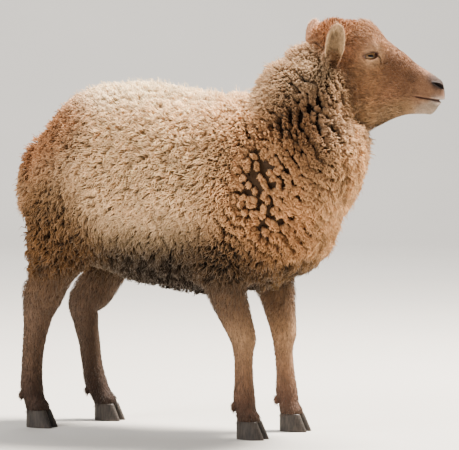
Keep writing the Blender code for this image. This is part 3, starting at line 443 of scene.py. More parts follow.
# Dark of the ear's hollow: partly dark hair, partly painted shade in the cup.
EAR_HOLLOW_HAIR_AND_PAINTED_SHADE = linear(92, 72, 48)
EAR_OUTSIDE = linear(166, 122, 92)
# Pale edge of the lips: partly their own whitish colour, partly a painted highlight on the rims.
PALE_LIP_AND_PAINTED_HIGHLIGHT = linear(214, 198, 186)
# Painted shade in the parting between the lips.
MOUTH_PARTING_PAINTED_SHADE = linear(60, 36, 30)
NOSE_SHADE = linear(42, 30, 26)
NOSE_PLACE = (0.187, 0.012, 0.032)
# Painted shade inside the nostrils.
NOSTRIL_PAINTED_SHADE = linear(30, 20, 18)
LID_EDGE = linear(122, 84, 70)
# Dark of the upper lid's edge: partly dark lashes, partly painted shade under the lid.
LASH_AND_PAINTED_LID_SHADE = linear(52, 36, 30)
# Painted shade in the slit of the scent gland.
GLAND_SLIT_PAINTED_SHADE = linear(40, 27, 20)
# Where the wool ends on the head, as x at heights z of its own frame, and how the edge wavers.
WOOL_EDGE_Z = (-0.092, -0.078, -0.060, -0.031, -0.006, 0.026, 0.050, 0.075, 0.095)
WOOL_EDGE_X = (0.084, 0.070, 0.036, 0.028, 0.014, -0.014, -0.006, 0.020, 0.036)
EDGE_WAVER = ((0.0030, 230.0, 0.4), (0.0018, 610.0, 1.9))
# Clefts of the neck and shoulder run forwards and down and part rows of gatherings.
CLEFT_RUN = unit((0.55, 0.0, -0.83))
CLEFT_OVER = unit((0.83, 0.0, 0.55))
ROW_PITCH = 0.0165
# Rows waver by these shares of their pitch, at these steps along and over the clefts.
ROW_WAVER = ((0.34, 43.0, 9.0, 2.0), (0.20, 101.0, 37.0, 0.3), (0.10, 233.0, 61.0, 1.1))
ROW_SHIFT = 0.046
# Clefts fade in and out along their run at this step, in waves a metre.
CLEFT_WAVES = 31.0

# Shares of a lock's length at which its rings sit, for knobbly wool and for the finer wool of the back.
LONG_CURL = (0.0, 0.38, 0.76)
FINE_CURL = (0.0, 0.68)
# Pieces of the fleece: the zones in each; a point, the run and the start of the axis that it unwraps round;
# the rings of its locks.
FLEECE_PIECES = {
    "back": (("back", "withers"), (0, 0, 0.42), (1, 0, 0), (0, 0, 1), FINE_CURL),
    "flank": (("flank",), (0, 0, 0.42), (1, 0, 0), (0, 0, 1), FINE_CURL),
    "belly": (("belly", "groin", "elbow", "brisket"), (0, 0, 0.42), (1, 0, 0), (0, 0, -1), FINE_CURL),
    "rump": (("rump", "tail"), (-0.15, 0, 0.42), (0, 0, 1), (-1, 0, 0), LONG_CURL),
    "thigh": (("thigh",), (-0.20, 0, 0.42), (0, 0, 1), (-1, 0, 0), LONG_CURL),
    "shoulder": (("shoulder",), (0.15, 0, 0.42), (0, 0, 1), (1, 0, 0), FINE_CURL),
    "neck": (("neck", "nape", "poll"), (0.22, 0.02, 0.42), (0.2, 0.1, 1), (1, 0, 0), FINE_CURL),
    "breast": (("breast", "throat"), (0.22, 0, 0.42), (0, 0, 1), (1, 0, 0), FINE_CURL),
}
# Where the wool stands in knobs with clefts between them, on both sides: middle and reach.
KNOBBLY_PLACES = (
    ((0.235, 0.12, 0.420), (0.122, 0.13, 0.165)),
    ((0.288, 0.060, 0.575), (0.078, 0.10, 0.115)),
)
# Size of a tuft's own patch on the unwrap.
PATCH = 0.003
SHEEN_TINT = (1.0, 0.80, 0.62, 1)
PUPIL = (0.004, 0.004, 0.006, 1)
# Shade over the eyeball by distance from the pupil's middle: clear iris, dark rim and brown white.
EYE_BANDS = (
    (0.56, (1, 1, 1)),
    (0.66, (0.10, 0.06, 0.04)),
    (0.72, (0.42, 0.25, 0.17)),
    (0.95, (0.50, 0.32, 0.24)),
)

# How far behind the ewe the floor begins to curve up, how round the curve is, how high the upright
# is, and how far the floor reaches to each side and in front.
BACKDROP = 6.5
BACKDROP_ROUND = 3.0
BACKDROP_TOP = 7.0
FLOOR_REACH = 14.0
# The camera in the maker's frame, and the picture's own measures in pixels.
CAMERA_YAW = math.radians(26)
CAMERA_DISTANCE = 4.128
CAMERA_HEIGHT = 0.52
FOCAL_PIXELS = 2400
PICTURE_WIDTH = 459
PICTURE_HEIGHT = 450
PRINCIPAL_U = 180
PRINCIPAL_V = 128
SIGHT = np.array((-math.sin(CAMERA_YAW), math.cos(CAMERA_YAW), 0))
RIGHT = np.array((math.cos(CAMERA_YAW), math.sin(CAMERA_YAW), 0))


# Carries the head's own frame into the maker's.
HEAD = np.array(
    Matrix.Translation(HEAD_ORIGIN)
    @ Matrix.Rotation(HEAD_YAW, 4, "Z")
    @ Matrix.Rotation(HEAD_PITCH, 4, "Y")
    @ Matrix.Rotation(HEAD_ROLL, 4, "X")
)


def from_head(points):
    """Points of the head's frame in the maker's frame."""
    return points @ HEAD[:3, :3].T + HEAD[:3, 3]


def to_head(points):
    """Points of the maker's frame in the head's frame."""
    return (points - HEAD[:3, 3]) @ HEAD[:3, :3]


def build(name, points, faces):
    """A mesh object in the row's frame from points of the maker's frame and arrays of faces."""
    corners = np.concatenate([f.ravel() for f in faces])
    used, corners = np.unique(corners, return_inverse=True)
    points = np.asarray(points, float).reshape(-1, 3)[used] - ROW_ORIGIN
    mesh = bpy.data.meshes.new(name)
    mesh.vertices.add(len(points))
    mesh.vertices.foreach_set("co", points.astype(np.float32).ravel())
    totals = np.concatenate([np.full(len(f), f.shape[1]) for f in faces])
    mesh.loops.add(len(corners))
    mesh.loops.foreach_set("vertex_index", corners.astype(np.int32))
    mesh.polygons.add(len(totals))
    starts = np.concatenate([[0], np.cumsum(totals)[:-1]])
    mesh.polygons.foreach_set("loop_start", starts.astype(np.int32))
    mesh.update(calc_edges=True)
    mesh.shade_smooth()
    made = bpy.data.objects.new(name, mesh)
    bpy.context.scene.collection.objects.link(made)
    return made


def read(source, field):
    """Vectors read from all elements of a mesh."""
    values = np.empty(len(source) * 3, np.float32)
    source.foreach_get(field, values)
    return values.reshape(-1, 3).astype(float)


def read_points(mesh):
    """A mesh's points in the maker's frame."""
    return read(mesh.vertices, "co") + ROW_ORIGIN


def ring_faces(rows, sides):
    """Quads between rows of points that close round, each row after the one before it."""
    row = np.arange(rows - 1)[:, None] * sides
    side = np.arange(sides)[None]
    after = (side + 1) % sides
    quads = np.stack([row + side, row + after, row + sides + after, row + sides + side], axis=-1)
    return quads.reshape(-1, 4)


def end_fans(rows, sides, middle):
    """Fans that close the first and last row of points, round middles with that index and the next."""
    side = np.arange(sides)
    after = (side + 1) % sides
    last = (rows - 1) * sides
    low = np.stack([np.full(sides, middle), after, side], axis=1)
    return [low, np.stack([np.full(sides, middle + 1), last + side, last + after], axis=1)]


def closed_tube(rings):
    """Points and faces of a closed body from rings of points, with both ends closed by a fan."""
    rows, sides = rings.shape[:2]
    points = np.concatenate([rings.reshape(-1, 3), rings[0].mean(0)[None], rings[-1].mean(0)[None]])
    return facing_out(points, [ring_faces(rows, sides), *end_fans(rows, sides, rows * sides)])


def facing_out(points, faces):
    """Turns all faces of a closed body round if its enclosed volume comes out negative."""
    fans = [np.stack([f[:, 0], f[:, k], f[:, k + 1]], 1) for f in faces for k in range(1, f.shape[1] - 1)]
    triangles = np.concatenate(fans)
    volume = dot(points[triangles[:, 0]], np.cross(points[triangles[:, 1]], points[triangles[:, 2]])).sum()
    if volume < 0:
        faces = [f[:, ::-1] for f in faces]
    return points, faces


def joined(bodies):
    """Points and faces of several bodies as one list each."""
    points, faces, count = [], [], 0
    for body_points, body_faces in bodies:
        faces += [f + count for f in body_faces]
        points.append(body_points)
        count += len(body_points)
    return np.concatenate(points), faces


def sections(path, side, up, down, squareness, sides):
    """Closed rings along a path: superellipses with their own reach to the side, up and down in each row."""
    angle = np.linspace(0, 2 * math.pi, sides, endpoint=False)
    across = power(np.sin(angle), 2 / squareness)[:, None]
    along = power(np.cos(angle), 2 / squareness)[:, None]
    upright = np.where(along > 0, up[:, None], down[:, None]) * np.abs(along)
    return path[:, None] + side[:, None] * across + upright


def torso(shrink, rows, sides):
    """The barrel of the body: superellipse sections along X, with blunt rounded ends."""
    middle = (TORSO_REAR_X + TORSO_FRONT_X) / 2
    half = (TORSO_FRONT_X - TORSO_REAR_X) / 2
    turn = np.linspace(math.radians(12), math.radians(168), rows)
    share = -np.cos(turn) / math.cos(turn[0])
    taper = np.maximum(1 - np.abs(share * 0.992) ** TORSO_BLUNTNESS, 0) ** (1 / TORSO_BLUNTNESS)
    table = np.array(TORSO_SIZES)
    sizes = smooth(middle + half * share, table[:, 0], table[:, 1:])
    above, below, wide = (np.maximum(sizes * taper[:, None] - shrink, 0.004)).T[..., None]
    path = np.stack([middle + (half - shrink) * share, 0 * share, TORSO_AXIS_Z + 0 * share], axis=1)
    return sections(path, wide * LEFTWARDS, above * UPWARDS, -below * UPWARDS, TORSO_SQUARENESS, sides)


def neck(shrink, rows, sides):
    """The neck: round sections square to a bent centre line."""
    table = np.array(NECK_SIZES)
    knots = chord_steps(table[:, :3])
    at = np.linspace(0, knots[-1], rows)
    values = smooth(at, knots, table)
    path = values[:, :3]
    tangent = unit(np.gradient(path, axis=0))
    turned = HEAD_YAW * 0.8 * ease(at, 0.05, knots[-1])
    sideways = np.stack([-np.sin(turned), np.cos(turned), np.zeros(rows)], axis=1)
    nape = unit(np.cross(tangent, sideways))
    deep, wide = (values[:, 3:5] - shrink).T[..., None]
    return sections(path, sideways * wide, nape * deep, -nape * deep, NECK_SQUARENESS, sides)


def leg_values(name, rows):
    """Centre line and sizes of a leg at rows from top to bottom, swung to its stride."""
    table = np.array(FORELEG_SIZES if name.startswith("fore") else HINDLEG_SIZES)
    heights, shifts = np.array(STRIDES[name]).T
    table[:, 0] += np.interp(table[:, 1], heights, shifts)
    knots = chord_steps(table[:, :2])
    values = smooth(rows * knots[-1], knots, table)
    side_sign = 1 if name.endswith("left") else -1
    path = np.stack([values[:, 0], side_sign * values[:, 5], values[:, 1]], axis=1)
    return path, values


def leg(name, shrink, rows, sides, grooves=0.0):
    """A leg: sections square to its centre line, with a groove down each side ahead of the tendons."""
    path, values = leg_values(name, rows)
    tangent = unit(np.gradient(path, axis=0))
    tangent[-1] = -UPWARDS
    ahead = unit(np.cross(tangent, LEFTWARDS))
    angle = np.linspace(0, 2 * math.pi, sides, endpoint=False)
    beside = bell(np.abs(np.sin(angle)) - 0.80, 0.22) * ease(-np.cos(angle), 0.15, 0.45)
    front, rear, wide = (values[:, 2:5] - shrink * values[:, 6:]).T[..., None]
    rings = sections(path, wide * LEFTWARDS, ahead * front, -ahead * rear, LEG_SQUARENESS, sides)
    high = path[:, 2:]
    cannon = ease(high, 0.080, 0.100) * (1 - ease(high, 0.140, 0.160))
    shank = ease(high, 0.185, 0.205) * (1 - ease(high, 0.235, 0.262)) * (not name.startswith("fore"))
    press = grooves * beside * (cannon + 2.4 * shank)
    return rings + (path[:, None] - rings) * (press / values[:, 4:5])[..., None]


def tail(shrink, rows, sides):
    """The short tail: round sections along a line that hangs from the rump."""
    table = np.array(TAIL_SIZES)
    knots = chord_steps(table[:, :2])
    values = smooth(np.linspace(0, knots[-1], rows), knots, table)
    path = np.stack([values[:, 0], np.zeros(rows), values[:, 1]], axis=1)
    behind = unit(np.cross(LEFTWARDS, unit(np.gradient(path, axis=0))))
    reach = values[:, 2:] - shrink
    return sections(path, reach * LEFTWARDS, behind * reach, -behind * reach, 2, sides)


def mouth_height(points):
    """Height of the line of the mouth at each point's place along the muzzle."""
    front = np.clip((points[..., 0] - MOUTH_CORNER_X) / (MUZZLE_FRONT_X - MOUTH_CORNER_X), 0, 1)
    return MOUTH_Z + MOUTH_RISE * front


def face(along, angle):
    """Points of the skin of the head in its own frame. along runs down the face, angle round it.

    Each section is a superellipse, squarer above its widest place and more pointed below it, and the
    ends round off as quarter ellipses. Bell-shaped rises are pushed outwards, the lower lip is set
    back, and the mouth is a furrow between two rounded lips, deepest in front.
    """
    table = np.array(HEAD_SIZES)
    shape = along.shape
    top, bottom, widest, half = smooth(along.ravel(), table[:, 0], table[:, 1:]).T
    top, bottom, widest, half = (v.reshape(shape) for v in (top, bottom, widest, half))
    front = np.clip((along - (MUZZLE_FRONT_X - MUZZLE_ROUND)) / MUZZLE_ROUND, 0, 1)
    rear = np.clip((HEAD_REAR_X + HEAD_REAR_ROUND - along) / HEAD_REAR_ROUND, 0, 1)
    taper = np.sqrt(np.clip(1 - front**2, 0, 1)) * np.sqrt(np.clip(1 - rear**2, 0, 1))
    sine, cosine = np.sin(angle), np.cos(angle)
    jaw = ease(along, 0.12, 0.03)
    square = np.where(cosine > 0, 2.3, 2.15 - 0.35 * jaw)
    across = power(sine, 2 / square) * half * taper
    reach = np.where(cosine > 0, top - widest, widest - bottom)
    high = widest + power(cosine, 2 / square) * reach * taper
    points = np.stack([along, across, high], axis=-1)
    middle = np.stack([along, np.zeros(shape), widest], axis=-1)
    outwards = unit(points - middle)
    for place, spread, rise in FACE_FORMS + SKIN_FORMS:
        mirrored = np.stack([points[..., 0], np.abs(points[..., 1]), points[..., 2]], axis=-1)
        distance = np.linalg.norm(mirrored - np.array(place), axis=-1)
        points = points + outwards * (rise * bell(distance, spread))[..., None]
    return lips(gland(points))


def gland_distance(flat):
    """Distance, seen from the side, to the slit that runs from the eye's inner corner forwards and down."""
    nearest_yet = np.full(flat.shape[:-1], np.inf)
    bends = [np.array(place) for place in (GLAND_TOP, GLAND_BEND, GLAND_LOW)]
    for start, end in zip(bends[:-1], bends[1:]):
        run = end - start
        share = np.clip(dot(flat - start, run) / (run @ run), 0, 1)
        distance = np.linalg.norm(flat - start - share[..., None] * run, axis=-1)
        nearest_yet = np.minimum(nearest_yet, distance)
    return nearest_yet


def gland(points):
    """Presses in the slit ahead of the eye, with a low rounded border behind it."""
    distance = gland_distance(points[..., (0, 2)])
    depth = GLAND_DEPTH * bell(distance, 0.0013) - 0.0004 * bell(distance - 0.0034, 0.0016)
    inwards = np.zeros_like(points)
    inwards[..., 1] = -np.sign(points[..., 1]) * depth * ease(np.abs(points[..., 1]), 0.012, 0.02)
    return points + inwards


def lips(points):
    """Sets the lower lip back and presses the line of the mouth in, between two rounded lips."""
    x, y, z = points[..., 0], points[..., 1], points[..., 2]
    below = ease(mouth_height(points) - z, 0.0, 0.006)
    x = x - 0.0042 * below * ease(x, 0.168, 0.196)
    centre = np.stack([np.minimum(x, 0.168), np.zeros_like(x)], axis=-1)
    outwards = unit(np.stack([x, y], axis=-1) - centre)
    off = z - mouth_height(points)
    on_mouth = ease(x, MOUTH_CORNER_X - 0.004, MOUTH_CORNER_X + 0.006)
    front = ease(x, 0.168, 0.188)
    furrow = (0.0030 + 0.0042 * front) * bell(off, 0.00105 + 0.0014 * front)
    roll = 0.0009 * (bell(off - 0.0046, 0.0028) + bell(off + 0.0046, 0.0028))
    cleft = 0.0014 * front * bell(y, 0.0011) * ease(off, 0.001, 0.004) * (1 - ease(off, 0.020, 0.026))
    push = on_mouth * (roll - furrow) - cleft
    return np.stack([x + outwards[..., 0] * push, y + outwards[..., 1] * push, z], axis=-1)


def opening_axes(outwards, tilt):
    """The directions along and across an opening on the left side, and the way out of it."""
    outwards = unit(outwards)
    ahead = np.array((math.cos(tilt), 0, math.sin(tilt)))
    ahead = unit(ahead - outwards * (ahead @ outwards))
    return ahead, np.cross(outwards, ahead) * -1, outwards


EYE_AXES = opening_axes(EYE_GAZE, EYE_TILT)
NOSTRIL_AXES = opening_axes(NOSTRIL_OUTWARDS, NOSTRIL_SLOPE)


def lid_margin(turn):
    """Edge of the lids: an almond with pointed corners, offsets along and across the opening."""
    across = LID_AHEAD + LID_LENGTH / 2 * np.cos(turn)
    rise = np.where(np.sin(turn) > 0, LID_RISE, LID_DROP)
    return np.stack([across, power(np.sin(turn), 1.25) * rise], axis=-1)


def lid_profile(flat, gap, base):
    """Height of the lids over the eye's centre: the ball, a lid on it, its rolled edge and its creases."""
    reach = EYE_RADIUS + LID_THICKNESS
    over = np.sqrt(np.maximum(reach**2 - dot(flat, flat), 0))
    above = ease(flat[..., 1], -0.002, 0.004)
    over = over + (0.0010 + 0.0007 * above) * bell(gap, 0.0018)
    over = over - (0.0005 + 0.0012 * above) * bell(gap - 0.0046, 0.0011)
    over = over + 0.0010 * above * bell(gap - 0.0072, 0.0018)
    over = over - 0.0008 * bell(gap - 0.0098, 0.0014)
    soft = 0.0022
    return (base + over + np.sqrt((base - over) ** 2 + soft**2)) / 2


def nostril_margin(turn):
    """Edge of a nostril: a comma, thick in front and drawn out behind."""
    across = NOSTRIL_HALF_LENGTH * np.cos(turn)
    thick = NOSTRIL_THICKNESS * (1 + 0.45 * np.cos(turn))
    return np.stack([across, np.sin(turn) * thick - 0.0020 * np.cos(turn) ** 2 + 0.0008], axis=-1)


def find_on_face(flat, guess, centre, axes):
    """Where on the face, as along and angle, a point shows at each offset from a centre (Newton steps)."""
    place = guess.copy()
    step = np.array((2e-4, 2e-3))
    plane = np.stack(axes[:2])
    for _ in range(12):
        here = (face(place[:, 0], place[:, 1]) - centre) @ plane.T
        by_along = ((face(place[:, 0] + step[0], place[:, 1]) - centre) @ plane.T - here) / step[0]
        by_angle = ((face(place[:, 0], place[:, 1] + step[1]) - centre) @ plane.T - here) / step[1]
        miss = flat - here
        scale = by_along[:, 0] * by_angle[:, 1] - by_along[:, 1] * by_angle[:, 0]
        scale = np.where(np.abs(scale) < 1e-7, 1e-7, scale)
        move_along = (miss[:, 0] * by_angle[:, 1] - miss[:, 1] * by_angle[:, 0]) / scale
        move_angle = (by_along[:, 0] * miss[:, 1] - by_along[:, 1] * miss[:, 0]) / scale
        place[:, 0] += np.clip(move_along, -0.004, 0.004) * 0.8
        place[:, 1] += np.clip(move_angle, -0.15, 0.15) * 0.8
        place[:, 0] = np.clip(place[:, 0], 0.0, MUZZLE_FRONT_X - 0.0006)
    return place


# The openings that are the same on both sides: centre, axes and edge.
EYE_OPENING = (EYE_CENTRE, EYE_AXES, lid_margin)
NOSTRIL_OPENING = (NOSTRIL_CENTRE, NOSTRIL_AXES, nostril_margin)


def face_rows():
    """Places along the face, closer together round the eye and the muzzle."""
    return np.concatenate(
        [
            np.linspace(HEAD_REAR_X + 0.0006, 0.010, 22, endpoint=False),
            np.linspace(0.010, 0.074, 46, endpoint=False),
            np.linspace(0.074, 0.150, 46, endpoint=False),
            np.linspace(0.150, MUZZLE_FRONT_X - MUZZLE_ROUND, 26, endpoint=False),
            MUZZLE_FRONT_X - MUZZLE_ROUND * (1 - np.sin(np.linspace(0, 1.53, 26))),
        ]
    )


def face_columns(count):
    """Angles round the face, evenly far apart on the section through the eye, the same on both sides."""
    fine = np.linspace(0, math.pi, 4000)
    walk = chord_steps(face(np.full(4000, 0.046), fine))
    half = np.interp(np.linspace(0, walk[-1], count // 2 + 1), walk, fine)
    return np.concatenate([half, 2 * math.pi - half[1:-1][::-1]])


def window_ring(low, high, columns, mirrored):
    """Index pairs round a window of the face's grid, from its low corner to its high one and back."""
    (i0, j0), (i1, j1) = low, high
    top = [(i0, j) for j in range(j0, j1)]
    right = [(i, j1) for i in range(i0, i1)]
    back = [(i1, j) for j in range(j1, j0, -1)]
    left = [(i, j0) for i in range(i1, i0, -1)]
    ring = np.array(top + right + back + left)
    if mirrored:
        ring[:, 1] = (columns - ring[:, 1]) % columns
    return ring


def head_body():
    """The head's skin: a grid of sections with a window for each eye and nostril.

    Each window is filled with rings that pass from its frame to the edge of the lids or the nostril and
    on into the hollow, so that edges and folds run round the opening.
    """
    rows, columns = face_rows(), face_columns(196)
    grid_along, grid_angle = np.meshgrid(rows, columns, indexing="ij")
    points = face(grid_along, grid_angle)
    count_rows, count = grid_along.shape
    windows = (
        (EYE_CENTRE, EYE_AXES, *EYE_WINDOW, eye_rings),
        (NOSTRIL_CENTRE, NOSTRIL_AXES, *NOSTRIL_WINDOW, nostril_rings),
    )
    keep = np.ones((count_rows - 1, count), bool)
    extra, faces = [], []
    total = count_rows * count
    for centre, axes, along_span, angle_span, rings_of in windows:
        low = np.searchsorted(rows, along_span[0]), np.searchsorted(columns, angle_span[0])
        high = np.searchsorted(rows, along_span[1]), np.searchsorted(columns, angle_span[1])
        ring = window_ring(low, high, count, False)
        made = rings_of(points[ring[:, 0], ring[:, 1]], rows[ring[:, 0]], columns[ring[:, 1]], centre, axes)
        for mirrored in (False, True):
            ring = window_ring(low, high, count, mirrored)
            frame_index = ring[:, 0] * count + ring[:, 1]
            span = slice(low[1], high[1]) if not mirrored else slice(count - high[1], count - low[1])
            keep[low[0]:high[0], span] = False
            steps, sides = made.shape[:2]
            grown = made * ((1, -1, 1) if mirrored else (1, 1, 1))
            middle = grown[-1].mean(0)
            extra.append(np.concatenate([grown.reshape(-1, 3), middle[None]]))
            index = total + np.arange(steps * sides).reshape(steps, sides)
            index = np.concatenate([frame_index[None], index])
            turned = np.roll(index, -1, axis=1)
            quads = np.stack([index[:-1], turned[:-1], turned[1:], index[1:]], axis=-1).reshape(-1, 4)
            fan = np.stack([index[-1], turned[-1], np.full(sides, total + steps * sides)], axis=-1)
            faces += [quads[:, ::-1], fan[:, ::-1]] if mirrored else [quads, fan]
            total += steps * sides + 1
    skin = ring_faces(count_rows, count).reshape(count_rows - 1, count, 4)[keep]
    ends = np.stack([points[0].mean(0), points[-1].mean(0)])
    points = np.concatenate([points.reshape(-1, 3)] + extra + [ends])
    return facing_out(from_head(points), [skin, *end_fans(count_rows, count, total)] + faces)


def spread_rings(frame_points, along, angle, centre, axes, margin, shares):
    """Rings of face points from a window's frame to an opening's edge, and their gap to that edge."""
    plane = np.stack(axes[:2])
    outer = (frame_points - centre) @ plane.T
    reach = np.abs(outer).max(0)
    edge = margin(np.arctan2(outer[:, 1] / reach[1], outer[:, 0] / reach[0]))
    start = np.stack([along, angle], axis=1)
    middle = start.mean(0)
    found, gaps, flats = [], [], []
    place = start
    for share in shares:
        flat = outer + (edge - outer) * share
        place = find_on_face(flat, place + (middle - place) * 0.04, centre, axes)
        found.append(face(place[:, 0], place[:, 1]))
        gaps.append(np.linalg.norm(flat - edge, axis=1))
        flats.append(flat)
    return np.array(found), np.array(gaps), np.array(flats), edge


def eye_rings(frame_points, along, angle, centre, axes):
    """Rings of the lids, from the face to their edge, and of the socket behind the ball."""
    shares = 1 - (1 - np.linspace(0.06, 1, 20)) ** 1.5
    base, gaps, flats, edge = spread_rings(frame_points, along, angle, centre, axes, lid_margin, shares)
    gaze = axes[2]
    height = (base - centre) @ gaze
    blend = ease(shares, 0.02, 0.30)[:, None]
    lifted = height + (lid_profile(flats, gaps, height) - height) * blend
    rings = base + gaze * (lifted - height)[..., None]
    inner = []
    for scale, depth in EYE_SOCKET_STEPS:
        flat = edge * scale
        ball = np.sqrt(np.maximum(EYE_RADIUS**2 - dot(flat, flat), 0))
        inner.append(centre + flat @ np.stack(axes[:2]) + gaze * (ball + depth)[:, None])
    return np.concatenate([rings, np.array(inner)])


def nostril_rings(frame_points, along, angle, centre, axes):
    """Rings of the wing of the nose, from the face to the nostril's edge, and of the hollow inside."""
    shares = 1 - (1 - np.linspace(0.08, 1, 12)) ** 1.4
    base, gaps, flats, _ = spread_rings(frame_points, along, angle, centre, axes, nostril_margin, shares)
    outwards = axes[2]
    lift = 0.0011 * bell(gaps, 0.0020) * ease(shares, 0.05, 0.6)[:, None]
    lift = lift * (0.6 + 0.4 * ease(flats[..., 1], -0.003, 0.003))
    rings = base + outwards * lift[..., None]
    rim = rings[-1]
    heart = rim.mean(0)
    inner = []
    for scale, depth in NOSTRIL_STEPS:
        inner.append(heart + (rim - heart) * scale - outwards * depth - np.array((0.25, 0, 0)) * depth)
    return np.concatenate([rings, np.array(inner)])


def ear_axes(side_sign):
    """An ear's lean, the way its cup opens and the direction across it, in the head's frame."""
    lean = unit(np.array(EAR_LEAN) * (1, side_sign, 1))
    opening = np.array(EAR_OPENING) * (1, side_sign, 1)
    opening = unit(opening - lean * (opening @ lean))
    return lean, opening, np.cross(lean, opening)


def ear_body(side_sign, rows, columns):
    """An ear as a curled leaf with a thinner rolled rim and two low ridges down its cup."""
    lean, opening, across = ear_axes(side_sign)
    share = np.sin(np.linspace(0, math.pi / 2, rows)) ** 0.85
    tip = np.clip((share - 0.60) / 0.405, 0, 1)
    half = EAR_HALF_WIDTH * (0.62 + 0.38 * ease(share, 0, 0.5)) * np.sqrt(1 - tip**2.4)
    curl = 1.9 - 1.0 * ease(share, 0.0, 0.9)
    radius = half / np.sin(np.minimum(curl, math.pi / 2))
    sweep = np.sin(np.linspace(-math.pi / 2, math.pi / 2, columns))
    turn = curl[:, None] * sweep[None]
    spine = np.array(EAR_ROOT) * (1, side_sign, 1) + share[:, None] * EAR_LENGTH * lean
    thin = EAR_THICKNESS * (1 - 0.55 * np.abs(sweep) ** 3)
    ridge = 0.0008 * (bell(sweep - 0.30, 0.10) + bell(sweep + 0.25, 0.10))
    layers = []
    for depth in (np.zeros(columns), thin + ridge):
        reach = radius[:, None] - depth[None]
        sideways = (reach * np.sin(turn))[..., None] * across
        inwards = (radius[:, None] - reach * np.cos(turn))[..., None] * opening
        layers.append(spine[:, None] + sideways + inwards)
    rings = np.concatenate([layers[0], layers[1][:, ::-1]], axis=1)
    points, faces = closed_tube(rings)
    return from_head(points), faces


def dewclaws(name):
    """Two small horny knobs behind the fetlock: ellipsoids longer than they are wide."""
    path, values = leg_values(name, np.linspace(0, 1, 60))
    k = int(np.argmin(np.abs(path[:, 2] - DEWCLAW_Z)))
    made = []
    for outwards in (-1, 1):
        centre = path[k] + (-values[k, 3] + 0.0005, outwards * 0.0085, -0.003)
        down = np.linspace(0.12, math.pi - 0.12, 10)[:, None]
        turn = np.linspace(0, 2 * math.pi, 16, endpoint=False)[None]
        flat = np.stack([np.cos(turn) + 0 * down, np.sin(turn) + 0 * down], axis=-1) * np.sin(down)[..., None]
        shape = np.concatenate([flat, (np.cos(down) + 0 * turn)[..., None]], axis=-1)
        made.append(closed_tube(centre + shape * DEWCLAW_RADIUS * np.array((0.95, 0.95, 1.45))))
    return made


def applied(made):
    """Gives an object the mesh that its modifiers make of it."""
    graph = bpy.context.evaluated_depsgraph_get()
    result = bpy.data.meshes.new_from_object(made.evaluated_get(graph))
    made.modifiers.clear()
    made.data = result
    return made


def body_form(voxel, rounds):
    """Torso, neck, tail and upper legs at the fleece's core, melted together and smoothed."""
    bodies = [
        closed_tube(torso(BODY_FLEECE / 2, 60, 72)),
        closed_tube(neck(NECK_FLEECE / 2, 30, 60)),
        closed_tube(tail(TAIL_FLEECE / 2, 20, 24)),
    ]
    for name in STRIDES:
        bodies.append(closed_tube(leg(name, 0.5, np.linspace(0, 0.62, 40), 32)))
    made = build("body_form", *joined(bodies))
    melt = made.modifiers.new("melt", "REMESH")
    melt.mode = "VOXEL"
    melt.voxel_size = voxel
    soften = made.modifiers.new("soften", "SMOOTH")
    soften.factor = 0.5
    soften.iterations = rounds
    return applied(made)


def fuse(base, others):
    """Joins closed bodies into one closed surface and removes them."""
    helpers = bpy.data.collections.new("helpers")
    for other in others:
        helpers.objects.link(other)
        bpy.context.scene.collection.objects.unlink(other)
    bpy.context.scene.collection.children.link(helpers)
    union = base.modifiers.new("union", "BOOLEAN")
    union.operation = "UNION"
    union.solver = "MANIFOLD"
    union.operand_type = "COLLECTION"
    union.collection = helpers
    applied(base)
    for other in list(helpers.objects):
        bpy.data.objects.remove(other)
    bpy.data.collections.remove(helpers)


def make_skin_body(look):
    """The whole skin as one closed surface."""
    pieces = [build("head_form", *head_body())]
    for side_sign in (1, -1):
        pieces.append(build("ear_form", *ear_body(side_sign, 44, 26)))
    for name in STRIDES:
        rows = np.concatenate([np.linspace(0.30, 0.52, 14, endpoint=False), np.linspace(0.52, 1, 74)])
        pieces.append(build("leg_form", *closed_tube(leg(name, 0.5, rows, 36, look.tendon_groove))))
        for knob in dewclaws(name):
            pieces.append(build("dewclaw_form", *knob))
    made = body_form(look.voxel, look.smoothing)
    fuse(made, pieces)
    made.name = "skin"
    made.data.name = "skin"
    made.data.shade_smooth()
    return made


def aside(points):
    """The same points with their distance from the middle plane in place of y."""
    return points * np.where(np.arange(3) == 1, np.sign(points), 1)


def zone_weights(points, sharpness=1.3):
    """How much each zone of the fleece counts at each point: bells that share out the whole."""
    places = aside(points)
    weights = []
    for zone in FLEECE_ZONES.values():
        off = (places - np.array(zone.place)) / np.array(zone.reach)
        weights.append(np.exp(-dot(off, off)) + 1e-12)
    weights = np.array(weights) ** sharpness
    return weights / weights.sum(0)


def pinch_of_wool(points, weights):
    """How far locks lean together: by zones, and fully where the wool stands in knobs."""
    places = aside(points)
    knobbly = np.zeros(len(points))
    for middle, reach in KNOBBLY_PLACES:
        off = (places - np.array(middle)) / np.array(reach)
        knobbly = np.maximum(knobbly, 1.2 * np.exp(-dot(off, off) * 1.1))
    sideways = ease(places[:, 1], 0.01, 0.04)
    return np.maximum(blended(weights, "pinch"), 0.98 * np.clip(knobbly, 0, 1) * sideways)


def blended(weights, field):
    """One fact of the fleece, mixed from all zones at each point."""
    values = np.array([np.atleast_1d(getattr(zone, field)) for zone in FLEECE_ZONES.values()], float)
    mixed = weights.T @ values
    return mixed[:, 0] if mixed.shape[1] == 1 else mixed


def ear_place(points):
    """Share of the way up the nearer ear, distance from its spine, and share of the way to its rim."""
    local = aside(to_head(points))
    lean, opening, across = ear_axes(1)
    off = local - np.array(EAR_ROOT)
    share = dot(off, lean) / EAR_LENGTH
    beside = off - (share * EAR_LENGTH)[:, None] * lean
    distance = np.linalg.norm(beside - opening * 0.008, axis=1)
    return share, distance, np.abs(beside @ across) / EAR_HALF_WIDTH


